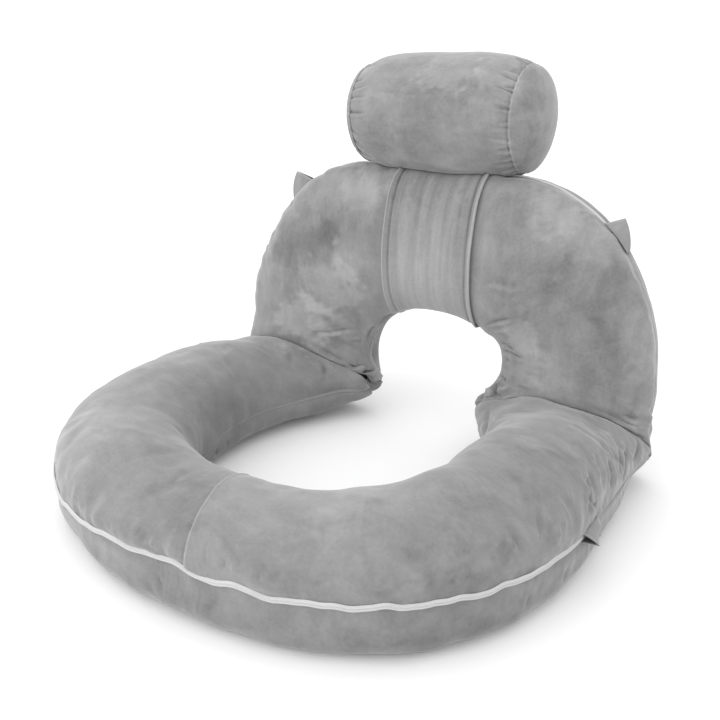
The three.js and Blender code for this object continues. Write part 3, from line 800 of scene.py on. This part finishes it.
def grid_faces(rows, columns, close_rows=False):
    """Quads of a grid of points that is closed round its columns, and round its rows where asked."""
    row = np.arange(rows if close_rows else rows - 1)[:, None]
    start, after = row * columns, (row + 1) % rows * columns
    left = np.arange(columns)
    right = (left + 1) % columns
    corners = [start + left, after + left, after + right, start + right]
    return np.stack(corners, axis=-1).reshape(-1, 4).tolist()


def loft_points(grid):
    """Points and faces of a closed piece from a grid of rings, with a fan at each end."""
    rows, columns = grid.shape[:2]
    points = np.concatenate([grid.reshape(-1, 3), grid[[0, -1]].mean(axis=1)])
    faces = grid_faces(rows, columns)
    first, last = rows * columns, rows * columns + 1
    base = (rows - 1) * columns
    for column in range(columns):
        after = (column + 1) % columns
        faces.append((column, after, first))
        faces.append((base + after, base + column, last))
    return points, faces


def loft_object(name, node_name, grid, material, slot, tone=0.0):
    tones = np.append(np.broadcast_to(tone, grid.shape[:2]), [0, 0])
    return mesh_object(name, node_name, *loft_points(grid), material, slot, tones)


def hood_points(grid):
    """Points and faces of a folded sheet, from rings along its outer face and back along its inner one."""
    rows, columns = grid.shape[:2]
    faces = grid_faces(rows, columns)
    base = (rows - 1) * columns
    for column in range(columns // 2 - 1):
        inner = columns - 1 - column
        faces.append((column, column + 1, inner - 1, inner))
        faces.append((base + column + 1, base + column, base + inner, base + inner - 1))
    return grid.reshape(-1, 3), faces


def grid_normals(grid):
    """Outward unit normals of a grid that is closed round its columns."""
    around = np.roll(grid, -1, axis=1) - np.roll(grid, 1, axis=1)
    return unit(np.cross(np.gradient(grid, axis=0), around))


# Plumping
def simulated(grid, pinned):
    """The points of a coarse cover after its filling has pressed on the cloth, with its seams held."""
    bag = new_object("bag", *loft_points(grid))
    held = bag.vertex_groups.new(name="held")
    held.add(np.flatnonzero(pinned).tolist(), 1.0, "REPLACE")
    cloth = bag.modifiers.new("cloth", "CLOTH")
    settings = cloth.settings
    settings.vertex_group_mass = held.name
    settings.use_pressure = True
    settings.uniform_pressure_force = PLUMP.pressure
    settings.shrink_min = PLUMP.growth
    settings.effector_weights.gravity = 0
    cloth.collision_settings.use_collision = False
    cloth.point_cache.frame_start = 1
    cloth.point_cache.frame_end = PLUMP.frames
    scene = bpy.context.scene
    for number in range(1, PLUMP.frames + 1):
        scene.frame_set(number)
    shaped = bag.evaluated_get(bpy.context.evaluated_depsgraph_get()).to_mesh()
    places = np.empty(len(shaped.vertices) * 3)
    shaped.vertices.foreach_get("co", places)
    mesh = bag.data
    bpy.data.objects.remove(bag)
    bpy.data.meshes.remove(mesh)
    scene.frame_set(1)
    return places.reshape(-1, 3)[: grid.shape[0] * grid.shape[1]].reshape(grid.shape) / MM


def blurred(values, rounds):
    """Values of a grid, averaged with their neighbours again and again."""
    for _ in range(rounds):
        padded = np.pad(values, 1, mode="edge")
        values = (padded[:-2] + 2 * padded[1:-1] + padded[2:]) / 4
        values = (values[:, :-2] + 2 * values[:, 1:-1] + values[:, 2:]) / 4
    return values


def resampled(values, rows, columns):
    """A grid read at fractional rows and columns."""
    for places in (rows, columns):
        whole = np.arange(len(values))
        values = np.stack([np.interp(places, whole, line) for line in values.T])
    return values


def plump_relief(cushion, travel):
    """Puckers that the filling's pressure makes between the sewn seams, for each point of a cover."""
    relief = np.zeros((len(travel), cushion.crown_steps + cushion.belly_steps + 2))
    coarse = changed(cushion, crown_steps=PLUMP.crown_steps, belly_steps=PLUMP.belly_steps)
    spots = section_spots(coarse)
    coarse_travel = spaced_travel(cushion, -1, 1, PLUMP.stations, 0.0)
    grid = cushion_points(coarse, coarse_travel, spots)
    held = np.broadcast_to(spots.rise == 0, grid.shape[:2]).copy()
    held[[0, -1]] = True
    pinned = np.append(held, [True, True])
    moved = np.einsum("ijk,ijk->ij", simulated(grid, pinned) - grid, grid_normals(grid))
    rows = np.interp(travel[:, 0], coarse_travel[:, 0], np.arange(len(coarse_travel)))
    first = 0
    fine_first = 0
    for key in ("crown_steps", "belly_steps"):
        steps, fine_steps = getattr(coarse, key), getattr(cushion, key)
        part = moved[:, first : first + steps]
        part = np.clip(part - blurred(part, PLUMP.mean_rounds), -PLUMP.cap, PLUMP.cap)
        fine = resampled(part, rows, np.linspace(0, steps - 1, fine_steps))
        relief[:, fine_first : fine_first + fine_steps] = blurred(fine, PLUMP.smooth_rounds)
        first += steps + 1
        fine_first += fine_steps + 1
    return relief * PLUMP.share


# Materials
def pile_and_painted_light_tone(points):
    """How much lighter each point is painted: painted shade low down, near the floor, and patches with
    ragged edges, one of them a painted sheen.
    """
    ragged = lumps(points, BRUSH_RAGS)
    tone = LOW_PAINTED_SHADE.lift * (1 - smoothstep(points[:, 2], 0, LOW_PAINTED_SHADE.height))
    for patch in BRUSHED_AND_PAINTED_SHEEN:
        distance = np.linalg.norm(points - np.array(patch.place), axis=1)
        from_middle = distance / patch.size + ragged * patch.rag
        tone += patch.lift * (1 - smoothstep(from_middle, 1 - patch.soft, 1 + patch.soft))
    return tone


def grey(tone):
    return (tone, tone, tone, 1)


def wire(tree, inputs, values):
    """Links each input to the output that is given for it, or else sets it to the value."""
    for key, value in values.items():
        if isinstance(value, bpy.types.NodeSocket):
            tree.links.new(value, inputs[key])
        else:
            inputs[key].default_value = value


def node(tree, kind, values, **properties):
    made = tree.nodes.new(kind)
    for key, value in properties.items():
        setattr(made, key, value)
    wire(tree, made.inputs, values)
    return made


def noise(tree, place, scale, detail, roughness=0.5, distortion=0.0):
    values = {"Vector": place, "Scale": scale, "Detail": detail}
    values.update({"Roughness": roughness, "Distortion": distortion})
    return node(tree, "ShaderNodeTexNoise", values).outputs["Fac"]


def mixed(tree, share, first, second):
    values = {"Factor": share, "A": first, "B": second}
    return node(tree, "ShaderNodeMix", values, data_type="FLOAT").outputs["Result"]


def bumped(tree, height, strength, distance):
    values = {"Height": height, "Strength": strength, "Distance": distance}
    return node(tree, "ShaderNodeBump", values).outputs["Normal"]


def new_material(name):
    material = bpy.data.materials.new(name)
    material.use_nodes = True
    return material, material.node_tree, material.node_tree.nodes["Principled BSDF"].inputs


def velvet(name, offset, streak, streaky, calm):
    """Short-pile velvet: brushed patches with painted light and shade, and mottling and streaks that are
    fainter the calmer it is.
    """
    material, tree, shader = new_material(name)
    coords = tree.nodes.new("ShaderNodeTexCoord").outputs["Object"]
    moved = {"Vector": coords, "Location": offset}
    place = node(tree, "ShaderNodeMapping", moved).outputs["Vector"]
    stretched = node(tree, "ShaderNodeMapping", {**moved, "Scale": streak}).outputs["Vector"]
    patches = noise(tree, place, scale=8.0, detail=9.0, roughness=0.68, distortion=1.2)
    streaks = noise(tree, stretched, scale=1.0, detail=5.0, roughness=0.6, distortion=0.5)
    grain = noise(tree, coords, scale=240.0, detail=3.0, roughness=0.6)
    tone = mixed(tree, GRAIN_SHARE, mixed(tree, streaky, patches, streaks), grain)
    brushed_and_painted_light = node(tree, "ShaderNodeAttribute", {}, attribute_name="brushed_and_painted_light").outputs["Fac"]
    lifted = node(tree, "ShaderNodeMath", {0: brushed_and_painted_light, 1: calm, 2: tone}, operation="MULTIPLY_ADD")
    ends = {"From Min": MIDDLE_TONE - TONE_SPAN * calm, "From Max": MIDDLE_TONE + TONE_SPAN * calm}
    share = node(tree, "ShaderNodeMapRange", {"Value": lifted.outputs["Value"], **ends}, clamp=False)
    # The sockets of a mix of colours go by number, because they share their names with others
    shades = {0: share.outputs["Result"], 6: DARK_PILE, 7: LIGHT_PILE}
    shade = node(tree, "ShaderNodeMix", shades, data_type="RGBA", clamp_factor=False).outputs[2]
    pile = noise(tree, coords, scale=620.0, detail=3.0)
    normal = bumped(tree, pile, strength=0.35, distance=0.0008)
    sheen = {"Sheen Weight": 0.45, "Sheen Roughness": 0.42}
    cloth = {"Base Color": shade, "Normal": normal, "Roughness": 0.95, "Specular IOR Level": 0.1, **sheen}
    wire(tree, shader, cloth)
    return material


def zip_cloth(name):
    """White woven tape and coil."""
    material, tree, shader = new_material(name)
    coords = tree.nodes.new("ShaderNodeTexCoord").outputs["Object"]
    weave = noise(tree, coords, scale=900.0, detail=2.0)
    ramp = node(tree, "ShaderNodeValToRGB", {"Fac": weave})
    for element, tone in zip(ramp.color_ramp.elements, ZIP_TONES):
        element.color = grey(tone)
    threads = bumped(tree, weave, strength=0.3, distance=0.0003)
    wire(tree, shader, {"Base Color": ramp.outputs["Color"], "Normal": threads, "Roughness": 0.6})
    return material


SEAT_VELVET = velvet("seat_velvet", (0.0, 0.0, 0.0), streak=(18.0, 42.0, 30.0), streaky=0.4, calm=0.2)
BACK_VELVET = velvet("back_velvet", (1.7, 0.4, 2.2), streak=(42.0, 26.0, 16.0), streaky=0.4, calm=0.16)
STRAP_VELVET = velvet("strap_velvet", (3.1, 2.0, 0.7), streak=(55.0, 3.0, 3.0), streaky=0.7, calm=0.135)
BOLSTER_VELVET = velvet("bolster_velvet", (0.6, 3.3, 1.1), streak=(20.0, 44.0, 44.0), streaky=0.4, calm=0.14)
ZIP_CLOTH = zip_cloth("white_zip")


# Covers
def uneven_lips(cushion, travel, spots):
    """Spots whose lips beside the zip are uneven along it, and nearly closed where the seam is sewn shut."""
    run = running(cushion_points(cushion, travel[:, 0], seam_spot(1.0)))[:, None]
    belly_waves, crown_waves = (ripple(run, seed, LIP.pitch) for seed in (LIP.belly_seed, LIP.crown_seed))
    uneven = 1 + LIP.unevenness / LIP.height * np.where(spots.belly, belly_waves, crown_waves)
    open_share = lerp(LIP.shut, uneven, zipped_at(cushion, travel))
    return changed(spots, lip=np.where(spots.across > 0, spots.lip * open_share, spots.lip))


def smooth_cover(cushion, crowds):
    """The cover of a cushion before it is crumpled, with distances along it and from its two seams."""
    spots = section_spots(cushion)
    travel = spaced_travel(cushion, -1, 1, cushion.stations, 0.0, FOLD_CROWDS + crowds)
    grid = cushion_points(cushion, travel, uneven_lips(cushion, travel, spots))
    around = running(grid, axis=1)
    return Values(
        cushion=cushion, spots=spots, travel=travel, grid=grid,
        normals=grid_normals(grid),
        run=running(grid),
        from_outer=np.minimum(around, around[:, -1:] - around),
        from_inner=np.abs(around - around[:, [cushion.crown_steps]]),
    )


def cover(name, node_name, cushion, place, material, seed, creases, bunches, crowds):
    """The velvet cover of a cushion, sewn and crumpled, in place of its solid."""
    cloth = smooth_cover(cushion, crowds)
    creased = crease_relief(cloth, creases)
    # Painted shade in the creases' troughs and painted highlights on their ridges, with the seams' tones and
    # the brush strokes
    tone = seam_tone(cloth) + CREASE.tone * creased + pile_strokes(cloth, seed)
    relief = cover_relief(cloth, seed, creased, bunches) - fold_inset(cloth, seed)
    grid = cloth.grid + cloth.normals * relief[..., None]
    grid[..., 2] = np.maximum(grid[..., 2], cushion.floor)
    piece = loft_object(name, node_name, place(grid), material, "velvet", tone)
    return piece


# Zips
def zip_piece(name, node_name, cushion, place):
    """Two rows of coil on a tape, along the outer seam from tab to tab."""
    low, high = cushion.zip_from - ZIP.tuck, cushion.zip_to + ZIP.tuck
    coarse = spaced_travel(cushion, low, high, ZIP.steps_for_length, 1.0)
    steps = int(running(cushion_points(cushion, coarse[:, 0], seam_spot(1.0)))[-1] / ZIP.step)
    travel = spaced_travel(cushion, low, high, steps, 1.0)
    run = np.arange(steps + 1)[:, None] * ZIP.step
    lip = np.linspace(1, -1, ZIP_COIL.columns) * ZIP.half
    coils = bell(lip - ZIP_COIL.at, ZIP_COIL.spread) + bell(lip + ZIP_COIL.at, ZIP_COIL.spread)
    turns = ZIP_COIL.rib * np.cos(TURN * run / ZIP_COIL.pitch + np.sign(lip) * math.pi / 2)
    front = ZIP.edge + (ZIP.rise + turns) * coils
    lips = np.append(lip, [-ZIP.half, ZIP.half])
    outs = np.append(front, np.full((steps + 1, 2), ZIP.back), axis=1)
    grid = cushion_points(cushion, travel, seam_spot(1.0, lips, outs))
    return loft_object(name, node_name, place(grid)[:, ::-1], ZIP_CLOTH, "zip_tape")


# Tabs
def tab_piece(tab, cushion, place, material):
    """A cloth hood folded over the end of a zip, tall and open towards the zip and low at its other end."""
    start = cushion.zip_from if tab.side < 0 else cushion.zip_to
    along = np.linspace(0, 1, TAB_STEPS.along)[:, None]
    t = np.linspace(1, -1, TAB_STEPS.around)
    height = lerp(tab.height, TAB.shut, along**tab.taper)
    hem = TAB_HEM.rise * bell(along, TAB_HEM.spread)
    arch = 1 - np.abs(t) ** TAB.arch
    outer_lip = (TAB.root_half + hem) * t
    inner_lip = (TAB.root_half - TAB.cloth) * t[::-1] * np.ones_like(along)
    outer_out = lerp(TAB.root_gap, height + hem, arch)
    inner_out = lerp(TAB.root_gap, height - 2 * TAB.cloth, arch[::-1])
    out = np.append(outer_out, inner_out, axis=1)
    share = out / tab.height
    lip = np.append(outer_lip, inner_lip, axis=1) - tab.droop * share**2
    travel = start + tab.side * (tab.length * along + tab.lean * share)
    grid = place(cushion_points(cushion, travel, seam_spot(1.0, lip, out)))
    # Painted highlight along the hem of the mouth, and painted shade over the whole inside of the hood
    outer_tone = tab.tone + TAB_HEM.lift * bell(along, TAB_HEM.spread / 2) * np.ones_like(t)
    tone = np.append(outer_tone, np.full_like(outer_tone, TAB_HEM.inside), axis=1)
    order = slice(None, None, tab.side)
    points, faces = hood_points(grid[:, order])
    tones = tone[:, order].ravel()
    piece = mesh_object(tab.node + "_cloth", tab.node, points, faces, material, "velvet", tones)


# Strap
def strap_loop():
    """Places across the strap, and for each one the closed loop round the smooth back that it follows."""
    spots = joined_spots(*(arc_spots(BACK, belly, STRAP.seam_angle) for belly in (False, True)))
    aside = np.linspace(-1, 1, STRAP_STEPS.across)
    x = STRAP.x + STRAP.half_width * aside[:, None]
    low = np.full((len(aside), len(spots.across)), -ARC_SHARE)
    high = -low
    for _ in range(STRAP_STEPS.halvings):
        middle = (low + high) / 2
        before = cushion_points(BACK, middle, spots)[..., 0] < x
        low = np.where(before, middle, low)
        high = np.where(before, high, middle)
    return aside, cushion_points(BACK, (low + high) / 2, spots)


def even_loop(loop, count):
    """A closed loop with its points spaced evenly, and its length."""
    closed = np.concatenate([loop, loop[:1]])
    run = running(closed)
    places = np.linspace(0, run[-1], count, endpoint=False)
    return np.stack([np.interp(places, run, column) for column in closed.T], axis=-1), run[-1]


def strap_piece(name, node_name, material):
    """The hemmed band round the crown of the back, whose edges stand up a little in front."""
    aside, loops = strap_loop()
    spaced = [even_loop(loop, STRAP_STEPS.along) for loop in loops]
    base = np.stack([loop for loop, _ in spaced], axis=1)
    length = np.mean([run for _, run in spaced])
    heading = np.roll(base, -1, axis=0) - np.roll(base, 1, axis=0)
    outward = unit(np.stack([np.zeros_like(heading[..., 0]), -heading[..., 2], heading[..., 1]], axis=-1))
    from_edge = STRAP.half_width * (1 - np.abs(aside))
    hem = 1 - smoothstep(from_edge, STRAP_HEM.width - STRAP_HEM.turn, STRAP_HEM.width + STRAP_HEM.turn)
    run = np.arange(STRAP_STEPS.along)[:, None] / STRAP_STEPS.along * length
    edge = STRAP_EDGE_LIFT
    uneven = 1 + edge.unevenness * ripple(run, edge.seed, edge.pitch)
    lift = np.where(aside > 0, edge.left_rise, edge.right_rise) * bell(from_edge, edge.width) * uneven
    in_front = smoothstep(base[..., 2], 0, STRAP_HEM.fade)
    raised_hem = (STRAP_HEM.rise * hem + lift + raised(STRAP_BEAD, from_edge)) * in_front
    top = STRAP.gap + STRAP.thickness - raised(STRAP_GROOVE, from_edge) + raised_hem
    bottom = STRAP.gap + lift * in_front
    rounding = STRAP_HEM.edge * bell(from_edge, STRAP_HEM.edge_width)
    outside = base + outward * (top - rounding)[..., None]
    inside = base + outward * (bottom + rounding * STRAP_HEM.inner_edge)[..., None]
    grid = back_place(np.concatenate([outside, inside[:, ::-1]], axis=1))
    rows, columns = grid.shape[:2]
    faces = grid_faces(rows, columns, close_rows=True)
    # Painted highlight along each edge of the strap and painted shade in each groove
    line = raised(STRAP_EDGE_HIGHLIGHT_AND_GROOVE_SHADE, from_edge)
    tone = np.tile(np.append(line, line[::-1]), rows)
    piece = mesh_object(name, node_name, grid.reshape(-1, 3), faces, material, "velvet", tone)
    return piece


# Bolster
def bolster_profile():
    """Place along the axis and radius, from the middle of one end to the middle of the other."""
    t = np.linspace(0, 1, BOLSTER_STEPS.body)
    share = np.sin(t * math.pi / 2) ** BOLSTER.spacing
    body_along = BOLSTER.half_length * share
    body_radius = lerp(BOLSTER.radius, BOLSTER.rim, share**BOLSTER.taper)
    past_seam = BOLSTER.half_length + BOLSTER.seam_width
    angle = np.linspace(0, math.pi / 2, BOLSTER_STEPS.end + 1)[:-1]
    radius = np.append(body_radius, BOLSTER.rim * np.cos(angle) ** BOLSTER.end_power)
    left, right = (np.append(body_along, past_seam + rim.bulge * np.sin(angle)) for rim in RIMS)
    return np.append(-left[:0:-1], right), np.append(radius[:0:-1], radius)


def gathers(along, radius, angle):
    """Uneven pleats that run out from each rim seam, and the fine welt of the seam."""
    relief = np.zeros((len(along), len(angle)))
    for rim in RIMS:
        draw = np.random.default_rng(rim.seed)
        count = rim.gathers
        places = (np.arange(count) + draw.uniform(*PLEAT.shifts, count)) / count
        depths = rim.depth * draw.uniform(*PLEAT.depths, count)
        lengths = rim.length * draw.uniform(*PLEAT.lengths, count)
        slants = draw.uniform(*PLEAT.slants, count)
        inside = BOLSTER.half_length - along * rim.side
        for place, depth, length, slant in zip(places, depths, lengths, slants):
            on_body = 1 - smoothstep(inside, PLEAT.full_to * length, PLEAT.gone_at * length)
            on_end = PLEAT.end_depth * bell(inside, length * PLEAT.end_length)
            fade = np.where(inside > 0, on_body, on_end)
            turned = angle - TURN * place - slant * (inside / rim.length)[:, None]
            aside = (np.mod(turned + math.pi, TURN) - math.pi) * radius[:, None]
            relief += depth * trough(aside, rim.width, PLEAT.ridge_at) * fade[:, None]
        relief += raised(RIM_SEAM, inside)[:, None]
    return relief


def surface_below(points, pieces):
    """Height of the highest piece straight below each point, in millimetres."""
    trees = []
    for piece in pieces:
        places = [vertex.co / MM for vertex in piece.data.vertices]
        trees.append(BVHTree.FromPolygons(places, [tuple(face.vertices) for face in piece.data.polygons]))
    down = Vector((0, 0, -1))
    heights = []
    for point in points:
        hits = [tree.ray_cast(Vector(point), down)[0] for tree in trees]
        heights.append(max((hit.z for hit in hits if hit is not None), default=-math.inf))
    return np.array(heights)


def bolster_piece(name, node_name, material, rests_on):
    """The round bolster, whose underside lies on the crown of the back."""
    along, radius = bolster_profile()
    angle = np.linspace(0, TURN, BOLSTER_STEPS.around, endpoint=False)
    x = np.broadcast_to(along[:, None], (len(along), len(angle)))
    smooth = np.stack([x, radius[:, None] * np.cos(angle), radius[:, None] * np.sin(angle)], axis=-1)
    relief = gathers(along, radius, angle) + lumps(smooth, BOLSTER_LUMPS)
    swelled = radius[:, None] + relief * np.minimum(1, radius / BOLSTER.calm_within)[:, None]
    x = x + BOLSTER.x
    y = swelled * np.cos(angle) + BOLSTER.y
    up = swelled * np.sin(angle)
    z = np.where(up < 0, up * BOLSTER.lower_stretch, up) + BOLSTER.z
    lower = np.broadcast_to(angle > math.pi, z.shape)
    starts = np.stack([x[lower], y[lower], np.full(lower.sum(), BOLSTER.z)], axis=-1)
    rest = surface_below(starts, rests_on) + BOLSTER.rest_gap
    ease = BOLSTER.rest_ease
    z[lower] = ease * np.logaddexp(rest / ease, z[lower] / ease)
    # Lighter along the rim seams, where the pile lies open, with a painted highlight on each seam
    from_rims = BOLSTER.half_length + BOLSTER.seam_width / 2 - np.abs(along)
    tone = SEAM_LINE.lift * bell(from_rims, SEAM_LINE.width)[:, None]
    grid = np.stack([x, y, z], axis=-1)[:, ::-1]
    piece = loft_object(name, node_name, grid, material, "velvet", tone)


cover(
    "seat_cover", "seat_cushion", SEAT, seat_place, SEAT_VELVET, seed=11,
    creases=SEAT_CREASES + small_wrinkles(SEAT_WRINKLES), bunches=SEAT_BUNCHES, crowds=SEAT_CROWDS,
)
back_cover = cover(
    "back_cover", "back_cushion", BACK, back_place, BACK_VELVET, seed=23,
    creases=BACK_CREASES + small_wrinkles(BACK_WRINKLES), bunches=BACK_BUNCHES, crowds=[],
)
zip_piece("seat_zip_coil", "seat_zip", SEAT, seat_place)
back_zip = zip_piece("back_zip_coil", "back_zip", BACK, back_place)
for seat_tab in SEAT_TABS:
    tab_piece(seat_tab, SEAT, seat_place, SEAT_VELVET)
for back_tab in BACK_TABS:
    tab_piece(back_tab, BACK, back_place, BACK_VELVET)
strap_band = strap_piece("strap_band", "head_strap", STRAP_VELVET)
bolster_piece("bolster_cover", "head_bolster", BOLSTER_VELVET, [strap_band, back_cover, back_zip])


# Stage
def aim(thing, direction):
    """Turns a camera or a light to look along a direction."""
    thing.rotation_mode = "QUATERNION"
    thing.rotation_quaternion = direction.to_track_quat("-Z", "Y")


def add_camera():
    azimuth, elevation = math.radians(CAMERA.azimuth), math.radians(CAMERA.elevation)
    level = math.cos(elevation)
    back = Vector((math.sin(azimuth) * level, -math.cos(azimuth) * level, math.sin(elevation)))
    data = bpy.data.cameras.new("camera")
    data.sensor_width = SENSOR_WIDTH
    data.lens = CAMERA.focal_px / PHOTO_SIZE * SENSOR_WIDTH
    camera = placed("camera", data)
    camera.location = (Vector(CAMERA.target) + back * CAMERA.distance) * MM
    aim(camera, -back)
    bpy.context.scene.camera = camera


def add_floor():
    corners = np.array([(-1, -1, 0), (1, -1, 0), (1, 1, 0), (-1, 1, 0)]) * FLOOR.reach
    floor = new_object("floor", corners, [(0, 1, 2, 3)])
    material, tree, shader = new_material("floor_white")
    paint = {"Base Color": grey(FLOOR.tone), "Roughness": 1.0, "Specular IOR Level": 0.0}
    wire(tree, shader, {**paint, "Emission Color": grey(1), "Emission Strength": FLOOR.glow})
    floor.data.materials.append(material)


def add_key_light():
    data = bpy.data.lights.new("key", "AREA")
    data.shape = "DISK"
    data.size = KEY.size * MM
    data.energy = KEY.power
    light = placed("key", data)
    light.location = Vector(KEY.place) * MM
    aim(light, Vector(KEY.target) - Vector(KEY.place))


def add_world():
    world = bpy.data.worlds.new("studio")
    bpy.context.scene.world = world
    world.use_nodes = True
    tree = world.node_tree
    coords = tree.nodes.new("ShaderNodeTexCoord").outputs["Generated"]
    facing = node(tree, "ShaderNodeVectorMath", {0: coords, 1: SKY.towards}, operation="DOT_PRODUCT")
    terms = {0: facing.outputs["Value"], 1: SKY.slope, 2: SKY.base}
    strength = node(tree, "ShaderNodeMath", terms, operation="MULTIPLY_ADD").outputs["Value"]
    wire(tree, tree.nodes["Background"].inputs, {"Color": grey(1), "Strength": strength})


add_camera()
add_floor()
add_world()
add_key_light()
bpy.context.scene.view_settings.view_transform = "Standard"
